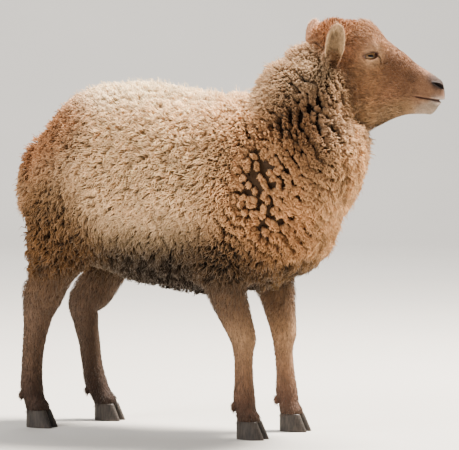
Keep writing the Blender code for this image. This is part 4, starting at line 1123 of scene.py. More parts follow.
def on_ear(points):
    """1 on the ears and 0 elsewhere."""
    share, distance, _ = ear_place(points)
    return ease(share, 0.26, 0.36) * (distance < 0.030)


def under_jaw(local):
    """How far points lie over the lower line of the head, in its own frame."""
    table = np.array(HEAD_SIZES)
    return local[:, 2] - np.interp(local[:, 0], table[:, 0], table[:, 2])


def ahead_of_wool(local):
    """How far points of the head's frame lie ahead of the wavering edge of the wool."""
    edge = np.interp(local[:, 2], WOOL_EDGE_Z, WOOL_EDGE_X)
    for reach, step, start in EDGE_WAVER:
        edge = edge + reach * np.sin(local[:, 2] * step + start)
    return local[:, 0] - edge


def face_share(local, behind, ahead):
    """1 on the short-haired face and 0 on the wool behind and below it, changing between two reaches."""
    return ease(ahead_of_wool(local), behind, ahead) * ease(under_jaw(local), -0.008, -0.002)


def wool_share(points):
    """1 where long wool grows, 0 where the hair is short, and between along the edges."""
    on_face = face_share(to_head(points), -0.004, 0.010)
    x, y, z = points.T
    on_foreleg = (x > 0.06) & (x < 0.24) & (np.abs(y) > 0.028)
    fore_bare = np.where(on_foreleg, 1 - ease(z, FORELEG_WOOL_Z - 0.030, FORELEG_WOOL_Z + 0.030), 0)
    hind_bare = np.where(x < -0.08, 1 - ease(z, THIGH_WOOL_Z - 0.016, THIGH_WOOL_FULL_Z - 0.010), 0)
    return (1 - on_face) * (1 - fore_bare) * (1 - hind_bare) * (1 - on_ear(points))


def face_shade(points):
    """Colour of the short hair of the head, in the head's frame, with painted shade in hollows and a pale
    lower lip.
    """
    places = aside(points)
    weights = [bell(np.linalg.norm(places - np.array(p), axis=1), r) + 1e-9 for p, r, _ in FACE_ZONES]
    weights = np.array(weights) ** 1.4
    shade = (weights / weights.sum(0)).T @ np.array([c for _, _, c in FACE_ZONES])
    off = points[:, 2] - mouth_height(points)
    on_mouth = ease(points[:, 0], MOUTH_CORNER_X - 0.006, MOUTH_CORNER_X + 0.002)
    # Pale lip edges in front, partly their own colour and partly a painted highlight.
    shade = mix(shade, PALE_LIP_AND_PAINTED_HIGHLIGHT, 0.75 * on_mouth * ease(points[:, 0], 0.165, 0.188) * bell(off, 0.0062))
    shade = mix(shade, NOSE_SHADE, 0.92 * bell(np.linalg.norm(places - np.array(NOSE_PLACE), axis=1), 0.017))
    # Painted shade along the parting of the lips, widest in front.
    parting = 0.0018 + 0.0014 * ease(points[:, 0], 0.165, 0.190)
    shade = mix(shade, MOUTH_PARTING_PAINTED_SHADE, on_mouth * bell(off, parting))
    # Painted shade along the slit of the scent gland.
    near = gland_distance(places[:, (0, 2)])
    shade = mix(shade, GLAND_SLIT_PAINTED_SHADE, bell(near, 0.0014) * (places[:, 1] > 0.02))
    # Painted shade inside the nostrils; the lid edges keep their own colour.
    edges = ((EYE_OPENING, LID_EDGE, 0.0012), (NOSTRIL_OPENING, NOSTRIL_PAINTED_SHADE, 0.0030))
    for opening, colour, spread in edges:
        gap, close = margin_gap(places, *opening)
        shade = mix(shade, colour, np.where(close, 1 - ease(gap, 0, spread), 0))
    # Above the eye: partly dark lashes, partly painted shade of the upper lid.
    gap, close = margin_gap(places, *EYE_OPENING)
    above = ease((places - EYE_CENTRE) @ EYE_AXES[1], 0.0, 0.003)
    shade = mix(shade, LASH_AND_PAINTED_LID_SHADE, np.where(close, 0.85 * above * (1 - ease(gap, 0.0006, 0.0036)), 0))
    return shade


def mix(shade, other, share):
    """Colours or directions moved towards others by a share at each point."""
    return shade + (np.asarray(other) - shade) * np.asarray(share)[:, None]


def leg_shade(points):
    """Colour of the legs by height, with the knees tan and the pasterns dark."""
    shades = []
    for table in LEG_SHADES.values():
        heights = [height for height, _ in table]
        colours = np.array([colour for _, colour in table])
        shades.append(np.stack([np.interp(points[:, 2], heights, colours[:, k]) for k in range(3)], axis=1))
    shade = np.where((points[:, 0] > -0.02)[:, None], shades[0], shades[1])
    # The far, left legs: the foreleg is painted 30% paler, and the hind leg behind the belly 32% darker, as
    # painted shade.
    far = ease(points[:, 1], 0.0, 0.03)
    return shade * (1 + np.where(points[:, 0] > 0, 0.30, -0.32) * far)[:, None]


def markings(points, normals):
    """Colour of the coat at points of the skin, the same for the skin and for what grows on it."""
    wool = blended(zone_weights(points, 1.15), "shade")
    local = to_head(points)
    face = face_shade(local)
    share, _, to_rim = ear_place(points)
    facing = aside_vectors(normals @ HEAD[:3, :3], local) @ ear_axes(1)[1]
    # The cup is darker towards its hollow, partly dark hair and partly painted shade, and paler towards the
    # rim and tip, partly pale hair and partly painted rim light.
    pale_rim_and_painted_rim_light = np.maximum(ease(to_rim, 0.35, 0.80), ease(share, 0.72, 0.98))
    inside = mix(EAR_HOLLOW_HAIR_AND_PAINTED_SHADE, EAR_INSIDE, 0.25 + 0.75 * pale_rim_and_painted_rim_light)
    ear = mix(EAR_OUTSIDE, inside, ease(facing, -0.1, 0.3))
    shade = mix(wool, face, face_share(local, -0.034, 0.010))
    on_foreleg = (points[:, 0] > 0.06) & (points[:, 0] < 0.24) & (np.abs(points[:, 1]) > 0.026)
    low = np.where(on_foreleg, 1 - ease(points[:, 2], 0.235, 0.300), 0)
    low = np.maximum(low, np.where(points[:, 0] < -0.08, 1 - ease(points[:, 2], 0.225, 0.300), 0))
    shade = mix(shade, leg_shade(points), low)
    return mix(shade, ear, on_ear(points))


def aside_vectors(vectors, points):
    """Vectors mirrored to the left side where their points are on the right."""
    return vectors * np.where(np.arange(3) == 1, np.sign(points[:, 1:2]), 1)


def lie_of_coat(points, normals):
    """Which way the coat lies: by zones on the fleece, back and down on the face, down on the legs."""
    weights = zone_weights(points)
    lie = aside_vectors(blended(weights, "lie"), points)
    local = to_head(points)
    sinking = 0.10 - 0.45 * ease(-local[:, 2], -0.05, 0.05)
    head_way = np.stack([np.full(len(points), -1.0), 0.10 * np.sign(local[:, 1]), sinking], 1)
    on_top = ease(local[:, 2], 0.055, 0.080)[:, None]
    head_way = head_way * (1 - on_top) + np.array((-1.0, 0, 0.35)) * on_top
    on_face = face_share(local, -0.02, 0.01)
    lie = mix(lie, unit(head_way @ HEAD[:3, :3].T), on_face)
    low = 1 - ease(points[:, 2], 0.22, 0.29)
    lie = mix(lie, (-0.12, 0, -1.0), low)
    lean = ear_axes(1)[0]
    ear_way = aside_vectors(np.broadcast_to(lean, lie.shape), local) @ HEAD[:3, :3].T
    lie = mix(lie, ear_way, on_ear(points))
    return unit(lie - normals * dot(lie, normals)[:, None])


def candidates(skin, count, seed):
    """Points spread at random over the skin by area, with its normals there."""
    mesh = skin.data
    mesh.calc_loop_triangles()
    corners = np.empty(len(mesh.loop_triangles) * 3, np.int32)
    mesh.loop_triangles.foreach_get("vertices", corners)
    corners = corners.reshape(-1, 3)
    points, normals = read_points(mesh), read(mesh.vertex_normals, "vector")
    a, b, c = (points[corners[:, k]] for k in range(3))
    area = np.linalg.norm(np.cross(b - a, c - a), axis=1)
    draw = np.random.default_rng(seed)
    picked = draw.choice(len(corners), size=count, p=area / area.sum())
    share = draw.random((2, count, 1))
    root = np.sqrt(share[0])
    weights = (1 - root, root * (1 - share[1]), root * share[1])
    spots = sum(w * points[corners[picked, k]] for k, w in enumerate(weights))
    facing = unit(sum(w * normals[corners[picked, k]] for k, w in enumerate(weights)))
    return spots, facing


def spaced(spots, spacing):
    """Indices of points left when each cell of a grid, and then of a shifted grid, keeps one point."""
    spacing = np.broadcast_to(spacing, len(spots))
    left = np.arange(len(spots))
    for shift, size in ((0.0, 1.0), (0.5, 0.62), (0.25, 0.62)):
        cells = np.floor(spots[left] / (spacing[left] * size)[:, None] + shift).astype(np.int64)
        keys = (cells[:, 0] * 73856093) ^ (cells[:, 1] * 19349663) ^ (cells[:, 2] * 83492791)
        _, first = np.unique(keys, return_index=True)
        left = left[np.sort(first)]
    return left


def nearest(points, centres, run, stretch):
    """Index of each point's nearest centre, where distance along a direction counts for less."""
    found = np.empty(len(points), np.int64)
    squares = dot(centres, centres)
    for start in range(0, len(points), 2000):
        part = slice(start, start + 2000)
        block = points[part].astype(np.float32)
        distance = dot(block, block)[:, None] + squares[None] - 2 * block @ centres.T
        along = dot(block, run[part])[:, None] - run[part] @ centres.T
        distance -= stretch[part, None] * along**2
        found[part] = np.argmin(distance, axis=1)
    return found


def tufts(name, spots, normals, lies, looks, charts, shades, rings, draw, sides=3):
    """Closed tapered locks of a few sides as one mesh.

    A lock's middle line rises from the skin as the sine of its share and lies over as a power of it. It is
    pulled towards its gathering and waves to and fro beside that line. Its radius swells and then closes
    to the tip, and its colour goes from a root darkened by painted shade to a pale tip.
    """
    count, steps = len(spots), len(rings)
    share = np.array(rings + (1.0,))[None, :, None]
    own = {key: looks[key][:, None, None] for key in ("early", "height", "length", "turns", "phase", "curl")}
    normals, lies = normals[:, None], lies[:, None]
    rise = np.sin(np.minimum(share * own["early"], 1) * math.pi / 2)
    line = spots[:, None] - normals * looks["sink"]
    line = line + normals * own["height"] * rise
    line = line + lies * own["length"] * share**1.5
    line = line + looks["pull"][:, None] * ease(share, 0.0, 0.9)
    swing = 2 * math.pi * own["turns"] * share + own["phase"]
    wave = own["curl"] * share**0.8
    line = line + np.cross(normals, lies) * np.sin(swing) * wave
    line = line + (lies * 0.6 - normals * 0.5) * np.cos(swing) * wave
    tangent = unit(np.gradient(line, axis=1))
    side = unit(np.cross(tangent, normals + 0.01 * lies))
    over = np.cross(side, tangent)
    radius = looks["width"][:, None] / 2 * np.interp(np.array(rings), looks["knots"], looks["swell"])[None]
    spin = draw.uniform(0, 2 * math.pi, (count, 1, 1))
    lump = 1 + looks["lump"] * draw.uniform(-1, 1, (count, steps, sides))
    parts = []
    for corner in range(sides):
        angle = spin + 2 * math.pi * corner / sides
        out = side[:, :-1] * np.cos(angle) + over[:, :-1] * np.sin(angle) * looks["broad"]
        parts.append(line[:, :-1] + out * (radius * lump[..., corner])[..., None])
    ringed = np.stack(parts, axis=2).reshape(count, -1, 3)
    points = np.concatenate([ringed, line[:, -1:]], axis=1)
    quads = ring_faces(steps, sides)
    last = sides * (steps - 1)
    ends = [(0, k + 1, k) for k in range(1, sides - 1)]
    ends += [(last + k, last + (k + 1) % sides, sides * steps) for k in range(sides)]
    triangles = np.concatenate([quads[:, (0, 1, 2)], quads[:, (0, 2, 3)], np.array(ends)])
    faces = (np.arange(count)[:, None, None] * (sides * steps + 1) + triangles[None]).reshape(-1, 3)
    # The rings run clockwise about the middle line, so the faces are turned to look outwards.
    made = build(name, points, [faces[:, ::-1]])
    rise_share = np.concatenate([np.repeat(np.array(rings), sides), [1.0]])
    # Painted shade: the colour darkens from the tip down to the root, as in the gaps between locks.
    tone = looks["root"][:, None] + (1 - looks["root"])[:, None] * rise_share[None] ** 0.8
    paint(made, (shades[:, None] * tone[..., None]).reshape(-1, 3))
    beside = np.concatenate([np.tile(np.linspace(-0.5, 0.5, sides), steps), [0.0]])
    patch = np.stack([beside, rise_share - 0.5], axis=1) * PATCH
    corners = np.empty(len(made.data.loops), np.int32)
    made.data.loops.foreach_get("vertex_index", corners)
    flat = (charts[:, None] + patch[None]).reshape(-1, 2)
    made.data.uv_layers.new(name="OFBake").uv.foreach_set("vector", flat[corners].astype(np.float32).ravel())
    return made


def paint(made, colours):
    """Stores a colour at each point, which the materials of the skin and the coat read."""
    layer = made.data.attributes.new("shade", "FLOAT_COLOR", "POINT")
    full = np.ones((len(colours), 4), np.float32)
    full[:, :3] = np.clip(colours, 0, 1)
    layer.data.foreach_set("color", full.ravel())


def unwrapped(points, axis_point, axis, start):
    """Places on an unwrap of the skin round an axis: distance along it and angle about it, from 0 to 1."""
    axis = unit(axis)
    start = unit(np.array(start, float) - axis * (np.array(start, float) @ axis))
    off = points - np.array(axis_point)
    angle = np.arctan2(off @ np.cross(axis, start), off @ start)
    flat = np.stack([off @ axis, angle], axis=1)
    low, high = flat.min(0), flat.max(0)
    return 0.01 + 0.98 * (flat - low) / np.maximum(high - low, 1e-6)


def tuft_looks(count, **own):
    """The looks of tufts: what plain straight ones have, and what is given in its place."""
    plain = {"early": np.ones(count), "pull": np.zeros((count, 3)), "sink": 0.002, "lump": 0.0, "broad": 1.0}
    return {**plain, **own}


def look_share(looks, here):
    """The looks of the tufts with these indices."""
    return {key: value[here] if isinstance(value, np.ndarray) else value for key, value in looks.items()}


def dressed(made, material, slot, *nodes):
    """Gives a piece its material and the body that it rides on, and hides the nodes that it stands for. The
    slot is not used.
    """
    made.data.materials.clear()
    made.data.materials.append(material)
    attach(made, "root")
    if nodes:
        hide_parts(*nodes)


def fleece_depth(spots):
    """Share of its full height that the wool reaches: low beside the face and down the legs."""
    local = to_head(spots)
    least = 0.42 + 0.40 * ease(-local[:, 2], 0.062, 0.080)
    by_face = least + (1 - least) * ease(-ahead_of_wool(local), 0.0, 0.050)
    near_face = 1 + (by_face - 1) * ease(under_jaw(local), -0.008, -0.001)
    share, distance, _ = ear_place(spots)
    near_face = near_face * (1 - 0.45 * bell(distance, 0.032) * ease(share, -0.20, 0.10))
    return near_face * (0.30 + 0.70 * ease(wool_share(spots), 0.4, 1.0))


def fleece_pieces(name, spots, normals, lies, weights, looks, shades, draw, material, rings=None, sides=3):
    """Makes locks in separate pieces, by the fleece's zones and the sides of the body."""
    main_zone = np.argmax(weights, axis=0)
    names = list(FLEECE_ZONES)
    for piece, (zones, point, axis, start, own_rings) in FLEECE_PIECES.items():
        in_zone = np.isin(main_zone, [names.index(zone) for zone in zones])
        for side, on_side in (("left", spots[:, 1] >= 0), ("right", spots[:, 1] < 0)):
            here = np.flatnonzero(in_zone & on_side)
            if len(here) == 0:
                continue
            chart = unwrapped(spots[here], point, axis, start)
            facts = (spots[here], normals[here], lies[here], look_share(looks, here), chart, shades[here])
            made = tufts("_".join((name, piece, side)), *facts, rings or own_rings, draw, sides)
            dressed(made, material, "neck_fleece" if piece in ("neck", "breast") else "body_fleece")


def gathering_run(spots, normals, weights):
    """Which way gatherings of curls are long: down the clefts of neck and shoulder, or else along the lie."""
    clefts = aside_vectors(np.broadcast_to(CLEFT_RUN, spots.shape), spots)
    clefts = unit(clefts - normals * dot(clefts, normals)[:, None])
    parted = ease(pinch_of_wool(spots, weights), 0.55, 0.75)
    return unit(mix(lie_of_coat(spots, normals), clefts, parted))


def grow_knobs(spots, normals, weights, pinch, look, material):
    """The felted cores of the knobs of the neck and shoulder, which fill them under their curls."""
    count = len(spots)
    draw = np.random.default_rng(look.seed + 3)
    block = blended(weights, "block")
    run = aside_vectors(np.broadcast_to(CLEFT_RUN, spots.shape), spots)
    lies = unit(run - normals * dot(run, normals)[:, None])
    tall = 0.30 + 0.48 * ease(pinch, look.knob_pinch, 0.96)
    looks = tuft_looks(
        count,
        height=blended(weights, "height") * fleece_depth(spots) * draw.uniform(0.82, 1.0, count) * tall,
        length=np.full(count, 0.003),
        width=block * look.gathering * draw.uniform(0.74, 0.94, count),
        curl=np.full(count, 0.0006),
        turns=np.full(count, 0.5),
        phase=draw.uniform(0, 6.28, count),
        # Painted shade: the cores darken to near black at the root, in the gaps between knobs.
        root=np.full(count, look.knob_root_painted_shade),
        knots=(0.0, 0.50, 0.86),
        swell=(0.70, 1.0, 0.70),
        lump=0.18,
        broad=1.50,
    )
    shades = markings(spots, normals) * draw.uniform(0.84, 1.04, (count, 1)) * look.knob_shade
    facts = (looks, shades, draw, material)
    fleece_pieces("knobs", spots, normals, lies, weights, *facts, rings=(0.0, 0.50, 0.86), sides=6)


def cleft_rows(spots, pinch):
    """The row of gatherings that each point is in, and how near it is to the long cleft beside that row.

    Rows are counted over the clefts' run, after a shift by a few sines that lets them waver. Clefts come
    and go along their run, and rows count only where locks lean together strongly.
    """
    places = aside(spots)
    along, over = places @ CLEFT_RUN, places @ CLEFT_OVER
    count = over / ROW_PITCH
    for share, step_along, step_over, start in ROW_WAVER:
        count = count + share * np.sin(along * step_along + over * step_over + start)
    row = np.round(count)
    off = 2 * np.abs(count - row)
    comes_and_goes = ease(np.sin(along * CLEFT_WAVES + row * 2.4), -1.3, -0.3)
    knobbly = ease(pinch, 0.52, 0.72)
    return row * (pinch > 0.55), ease(off, 0.53, 0.81) * comes_and_goes * knobbly


def grow_fleece(skin, look, material, felt):
    """Wool all over the body, in fine curls that lean together in gatherings with clefts between them."""
    spots, normals = candidates(skin, look.candidates, look.seed)
    keep = wool_share(spots) > look.wool_edge
    spots, normals = spots[keep], normals[keep]
    weights = zone_weights(spots)
    run = gathering_run(spots, normals, weights)
    pinch = pinch_of_wool(spots, weights)
    row, cleft = cleft_rows(spots, pinch)
    parted = spots + ROW_SHIFT * row[:, None] * CLEFT_OVER
    squeezed = parted - (1 - look.gathering_squeeze) * run * dot(parted, run)[:, None]
    middles = spaced(squeezed, blended(weights, "block") * look.gathering)
    middles = middles[cleft[middles] < 0.15]
    centres = spots[middles]
    knobby = middles[pinch[middles] > look.knob_pinch]
    grow_knobs(spots[knobby], normals[knobby], weights[:, knobby], pinch[knobby], look, felt)
    chosen = spaced(spots, look.spacing * (0.25 + 0.75 * blended(weights, "width") / 0.0030))
    kept = np.random.default_rng(look.seed + 7).random(len(chosen)) > look.cleft_thinning * cleft[chosen]
    chosen = chosen[kept]
    spots, normals, weights, cleft = spots[chosen], normals[chosen], weights[:, chosen], cleft[chosen]
    count = len(spots)
    lies = lie_of_coat(spots, normals)
    pinch, block = pinch[chosen], blended(weights, "block")
    run = run[chosen].astype(np.float32)
    stretch = np.full(count, 1 - look.gathering_squeeze**2, np.float32)
    owner = nearest(parted[chosen], parted[middles].astype(np.float32), run, stretch)
    away = centres[owner] - spots
    away = away - normals * dot(away, normals)[:, None]
    away = away - (1 - look.gathering_squeeze) * run * dot(away, run)[:, None]
    spread = np.clip(np.linalg.norm(away, axis=1) / (block * look.gathering * 0.62), 0, 1.1)
    draw = np.random.default_rng(look.seed + 1)
    mood = draw.normal(0, 1, (len(centres), 4))[owner]
    turn = look.waywardness * (mood[:, 3] + 0.7 * draw.normal(0, 1, count))[:, None]
    lies = unit(lies * np.cos(turn) + np.cross(normals, lies) * np.sin(turn))
    stray = draw.random(count) < look.stray_share
    thin = np.where(stray, 0.5, 1)
    depth = fleece_depth(spots)
    height = blended(weights, "height") * depth * (1 + look.unevenness * mood[:, 0])
    dome = (1 - look.cleft_depth * pinch * spread**2.2) * (1 - look.cleft_depth * cleft)
    looks = tuft_looks(
        count,
        height=height * dome * draw.uniform(0.88, 1.05, count) * np.where(stray, 1.32, 1),
        length=blended(weights, "length") * (0.5 + 0.5 * depth) * draw.uniform(0.75, 1.25, count),
        width=blended(weights, "width") * (0.5 + 0.5 * depth) * draw.uniform(0.75, 1.2, count) * thin,
        curl=blended(weights, "curl") * draw.uniform(0.5, 1.4, count),
        turns=draw.uniform(0.8, 1.3, count),
        phase=mood[:, 2] * 2 + draw.normal(0, 0.8, count),
        early=np.full(count, 1.15),
        # Painted shade at the roots, darker where locks lean together.
        root=0.78 - 0.72 * pinch,
        pull=away * (look.gather_pull * pinch)[:, None],
        knots=(0.0, 0.38, 0.80),
        swell=(0.9, 1.0, 0.74),
    )
    tone = np.clip(1 + look.tone_variation * (mood[:, 1] + draw.normal(0, 1, count)), 0.55, 1.45)
    # Painted shade: curls darken towards the edge of their gathering and in the long clefts.
    tone = tone * (1 - look.cleft_painted_shade * pinch * spread**3) * (1 - look.cleft_painted_shade * cleft)
    shades = markings(spots, normals) * tone[:, None]
    fleece_pieces("fleece", spots, normals, lies, weights, looks, shades, draw, material)


def hair_sites(skin, look, spacing, allowed, seed):
    """Where short hair grows, spaced evenly over the part of the skin that a test allows."""
    spots, normals = candidates(skin, look.candidates, seed)
    keep = allowed(spots)
    spots, normals = spots[keep], normals[keep]
    chosen = spaced(spots, spacing(spots) if callable(spacing) else spacing)
    return spots[chosen], normals[chosen]


def short_hair(name, spots, normals, look, lengths, widths, rise, material, slot, chart, seed):
    """Short flat hair: thin closed tufts of three sides that lie along the skin."""
    count = len(spots)
    draw = np.random.default_rng(seed)
    lies = lie_of_coat(spots, normals)
    lies = unit(lies + np.cross(normals, lies) * draw.normal(0, 0.22, (count, 1)))
    looks = tuft_looks(
        count,
        height=lengths * rise * draw.uniform(0.6, 1.4, count),
        length=lengths * draw.uniform(0.75, 1.25, count),
        width=widths * draw.uniform(0.8, 1.2, count),
        curl=lengths * 0.06,
        turns=np.full(count, 0.6),
        phase=draw.uniform(0, 6.28, count),
        # Painted shade at the roots of the hair.
        root=np.full(count, look.hair_root_painted_shade),
        sink=0.0006,
        knots=(0.0, 0.5),
        swell=(1.0, 0.8),
    )
    tone = np.clip(1 + look.grizzle * draw.normal(0, 1, count), 0.45, 1.7)
    shades = markings(spots, normals) * tone[:, None]
    made = tufts(name, spots, normals, lies, looks, chart, shades, (0.0, 0.5), draw)
    dressed(made, material, slot)


def open_skin(spots):
    """True on the hairless edges: inside the lids, in the nostrils and between the lips."""
    places = aside(to_head(spots))
    bare = np.zeros(len(spots), bool)
    for opening, clear in ((EYE_OPENING, 0.0011), (NOSTRIL_OPENING, 0.0012)):
        gap, close = margin_gap(places, *opening)
        bare |= close & (gap < clear)
    off = places[:, 2] - mouth_height(places)
    bare |= (np.abs(off) < 0.0024) & (places[:, 0] > MOUTH_CORNER_X) & (np.abs(places[:, 1]) < 0.04)
    return bare


def grow_face_hair(skin, look, material):
    """Short hair of the face: longest on the cheek and brow, finest on the lids, nose and lips."""

    def on_face(spots):
        local = to_head(spots)
        near = (np.abs(local[:, 1]) < 0.07) & (local[:, 2] > -0.110) & (local[:, 0] > -0.03)
        return near & (wool_share(spots) < 0.75) & (on_ear(spots) < 0.5) & ~open_skin(spots)

    def spacing(spots):
        local = to_head(spots)
        return look.face_spacing * (1 - 0.25 * ease(local[:, 0], 0.10, 0.16))

    spots, normals = hair_sites(skin, look, spacing, on_face, look.seed)
    local = aside(to_head(spots))
    fine = ease(local[:, 0], 0.085, 0.165)
    by_eye = bell(np.linalg.norm(local - EYE_CENTRE - (0.003, 0.014, 0), axis=1), 0.016)
    by_wool = 1 - ease(ahead_of_wool(local), 0.0, 0.045)
    brow = bell(np.linalg.norm(local - (0.040, 0.0, 0.092), axis=1), 0.028)
    mid_jaw = ease(local[:, 0], 0.03, 0.06) * ease(local[:, 0], 0.13, 0.09)
    under = mid_jaw * ease(-under_jaw(local), -0.012, 0.0)
    lengths = (0.0070 - 0.0040 * fine) * (1 - 0.55 * by_eye) * (1 + 0.7 * by_wool + 0.7 * brow + 0.7 * under)
    rise = 0.22 + 0.12 * by_wool + 0.18 * brow + 0.20 * under
    widths = 0.00105 - 0.00035 * fine
    axis_point, axis = from_head(np.array((0, 0, 0.01))), HEAD[:3, :3] @ np.array((1.0, 0, 0))
    down = HEAD[:3, :3] @ np.array((0, 0, -1.0))
    for side, here in (("left", to_head(spots)[:, 1] >= 0), ("right", to_head(spots)[:, 1] < 0)):
        chart = unwrapped(spots[here], axis_point, axis, down)
        facts = (lengths[here], widths[here], rise[here], material, "face_hair", chart, look.seed + 2)
        short_hair("face_hair_" + side, spots[here], normals[here], look, *facts)


def grow_ear_hair(skin, look, material):
    """Fine hair on both faces of each ear, drawn out along the rim."""
    for side, side_sign in (("left", 1), ("right", -1)):

        def on_this_ear(spots, side_sign=side_sign):
            return (on_ear(spots) > 0.3) & (np.sign(to_head(spots)[:, 1]) == side_sign)

        spots, normals = hair_sites(skin, look, look.ear_spacing, on_this_ear, look.seed + 5)
        root = from_head(np.array(EAR_ROOT) * (1, side_sign, 1))
        chart = unwrapped(spots, root, HEAD[:3, :3] @ ear_axes(side_sign)[0], (1, 0, 0))
        lengths = np.full(len(spots), 0.0056)
        widths = np.full(len(spots), 0.0008)
        facts = (lengths, widths, 0.24, material, "ear_hair", chart, look.seed + 6)
        short_hair("ear_hair_" + side, spots, normals, look, *facts)


def grow_leg_hair(skin, look, material):
    """Short hair down the legs, a little longer behind the knees and over the hooves."""
    for name in STRIDES:
        front, side_sign = name.startswith("fore"), 1 if name.endswith("left") else -1

        def on_leg(spots, front=front, side_sign=side_sign):
            mine = (np.sign(spots[:, 1]) == side_sign) & ((spots[:, 0] > -0.03) == front)
            low = spots[:, 2] < (0.300 if front else 0.320)
            under = (np.abs(spots[:, 1]) > 0.03) | (spots[:, 2] < 0.235)
            return mine & low & under & (wool_share(spots) < 0.80)

        spots, normals = hair_sites(skin, look, look.leg_spacing, on_leg, look.seed + 8)
        upper = ease(spots[:, 2], 0.190, 0.270)
        lengths = 0.0075 + 0.0085 * upper + 0.002 * bell(spots[:, 2] - 0.034, 0.006)
        widths = np.full(len(spots), 0.0011)
        path, _ = leg_values(name, np.array([0.7]))
        chart = unwrapped(spots, path[0], (0, 0, 1), (-1, 0, 0))
        slot = "foreleg_hair" if front else "hindleg_hair"
        facts = (lengths, widths, 0.20 + 0.16 * upper, material, slot, chart, look.seed + 9)
        short_hair("hair_" + name, spots, normals, look, *facts)


def margin_gap(places, centre, axes, margin):
    """How far points lie outside an opening's edge, seen along its axis, and whether they are near it."""
    off = places - centre
    flat = np.stack([off @ axes[0], off @ axes[1]], axis=1)
    reach = np.abs(margin(np.linspace(0, 2 * math.pi, 40))).max(0)
    edge = margin(np.arctan2(flat[:, 1] / reach[1], flat[:, 0] / reach[0]))
    close = (np.linalg.norm(off, axis=1) < 0.024) & (places[:, 1] > 0.008)
    return np.linalg.norm(flat, axis=1) - np.linalg.norm(edge, axis=1), close


def eye_body(side_sign, rows, sides):
    """An eyeball with its pole at the pupil: a sphere whose cornea swells by a low bell over the iris."""
    ahead, upwards, gaze = (v * (1, side_sign, 1) for v in EYE_AXES)
    half = rows // 2
    front = np.linspace(0.01, 0.9, half, endpoint=False)
    down = np.concatenate([front, np.linspace(0.9, math.pi - 0.02, half)])
    turn = np.linspace(0, 2 * math.pi, sides, endpoint=False)
    reach = EYE_RADIUS + 0.0007 * bell(down, 0.55)
    flat = np.sin(down)[:, None] * np.stack([np.cos(turn), np.sin(turn)])[:, None, :]
    rings = flat[0][..., None] * ahead + flat[1][..., None] * upwards + np.cos(down)[:, None, None] * gaze
    return closed_tube(EYE_CENTRE * (1, side_sign, 1) + rings * reach[:, None, None])


def make_eye(side, side_sign, look, material):
    """An eye whose points carry their place on the ball, for the material's iris and level pupil."""
    points, faces = eye_body(side_sign, 60, 64)
    made = build("eyeball_" + side, from_head(points), faces)
    off = (to_head(read_points(made.data)) - EYE_CENTRE * (1, side_sign, 1)) / EYE_RADIUS
    along, over, out = (off @ (v * (1, side_sign, 1)) for v in EYE_AXES)
    cosine, sine = math.cos(look.pupil_tilt), math.sin(look.pupil_tilt)
    place = np.stack([along * cosine + over * sine, -along * sine + over * cosine, out], axis=1)
    layer = made.data.attributes.new("eye_place", "FLOAT_VECTOR", "POINT")
    layer.data.foreach_set("vector", place.astype(np.float32).ravel())
    dressed(made, material, "eye", "eye_" + side)


def claw(name, inner, rows, sides, look):
    """One claw of a cloven hoof: flat towards the cleft, ringed by faint ridges, with a level sole."""
    side_sign = 1 if name.endswith("left") else -1
    path, _ = leg_values(name, np.array([1.0]))
    foot_x, foot_y = path[0, :2]
    outwards = -side_sign if inner else side_sign
    turn = np.linspace(0, 2 * math.pi, sides, endpoint=False)[None]
    share = np.concatenate([[0.0, 0.012, 0.03], np.linspace(0.06, 1, rows)])[:, None]
    length = HOOF_LENGTH + (HOOF_TOP_LENGTH - HOOF_LENGTH) * share
    width = CLAW_WIDTH + (CLAW_TOP_WIDTH - CLAW_WIDTH) * share
    tuck = 1 - np.array([0.045, 0.015, 0.0] + [0.0] * rows)[:, None]
    ridge = 1 + look.growth_ridge * np.sin(share * look.growth_rings * 2 * math.pi) * ease(share, 0.05, 0.2)
    point = 1 - 0.42 * np.maximum(np.cos(turn), 0) ** 2 * (1 - 0.6 * share)
    across = power(np.sin(turn), np.where(np.sin(turn) > 0, 0.9, 0.45))
    x = foot_x + HOOF_REACH * (1 - share) + length / 2 * np.cos(turn) * tuck * ridge
    y = foot_y + outwards * (CLEFT / 2 + width / 2 * (1 + across * point * tuck))
    z = HOOF_HEIGHT * share + 0 * turn
    return closed_tube(np.stack([x, y, z], axis=-1))


def new_material(name):
    """A new material with its node tree."""
    material = bpy.data.materials.new(name)
    material.use_nodes = True
    return material, material.node_tree


def node(tree, kind, **values):
    """Adds a node and sets its own settings and its inputs, given by name."""
    made = tree.nodes.new(kind)
    for key, value in values.items():
        if hasattr(made, key):
            setattr(made, key, value)
        else:
            made.inputs[key.replace("_", " ")].default_value = value
    return made


def noise(tree, where, scale, detail, roughness=0.6):
    """A noise read on the given coordinates."""
    made = node(tree, "ShaderNodeTexNoise", Scale=scale, Detail=detail, Roughness=roughness)
    tree.links.new(where, made.inputs["Vector"])
    return made.outputs["Fac"]


def bumped(tree, source, strength, depth):
    """Gives the shader a bump from a value."""
    bump = node(tree, "ShaderNodeBump", Strength=strength, Distance=depth)
    tree.links.new(source, bump.inputs["Height"])
    tree.links.new(bump.outputs["Normal"], tree.nodes["Principled BSDF"].inputs["Normal"])


def blended_colours(tree, first, second, factor=None, kind="MIX"):
    """Two colours mixed by a value, or multiplied outright."""
    made = node(tree, "ShaderNodeMix", data_type="RGBA", blend_type=kind)
    if factor is None:
        made.inputs["Factor"].default_value = 1
    else:
        tree.links.new(factor, made.inputs["Factor"])
    tree.links.new(first, made.inputs["A"])
    if isinstance(second, tuple):
        made.inputs["B"].default_value = second
    else:
        tree.links.new(second, made.inputs["B"])
    return made.outputs["Result"]


def finish(material, colour, **values):
    """Gives a material's shader its base colour and its constant inputs, named with _ for each space."""
    shader = material.node_tree.nodes["Principled BSDF"]
    material.node_tree.links.new(colour, shader.inputs["Base Color"])
    for key, value in values.items():
        shader.inputs[key.replace("_", " ")].default_value = value
    return material


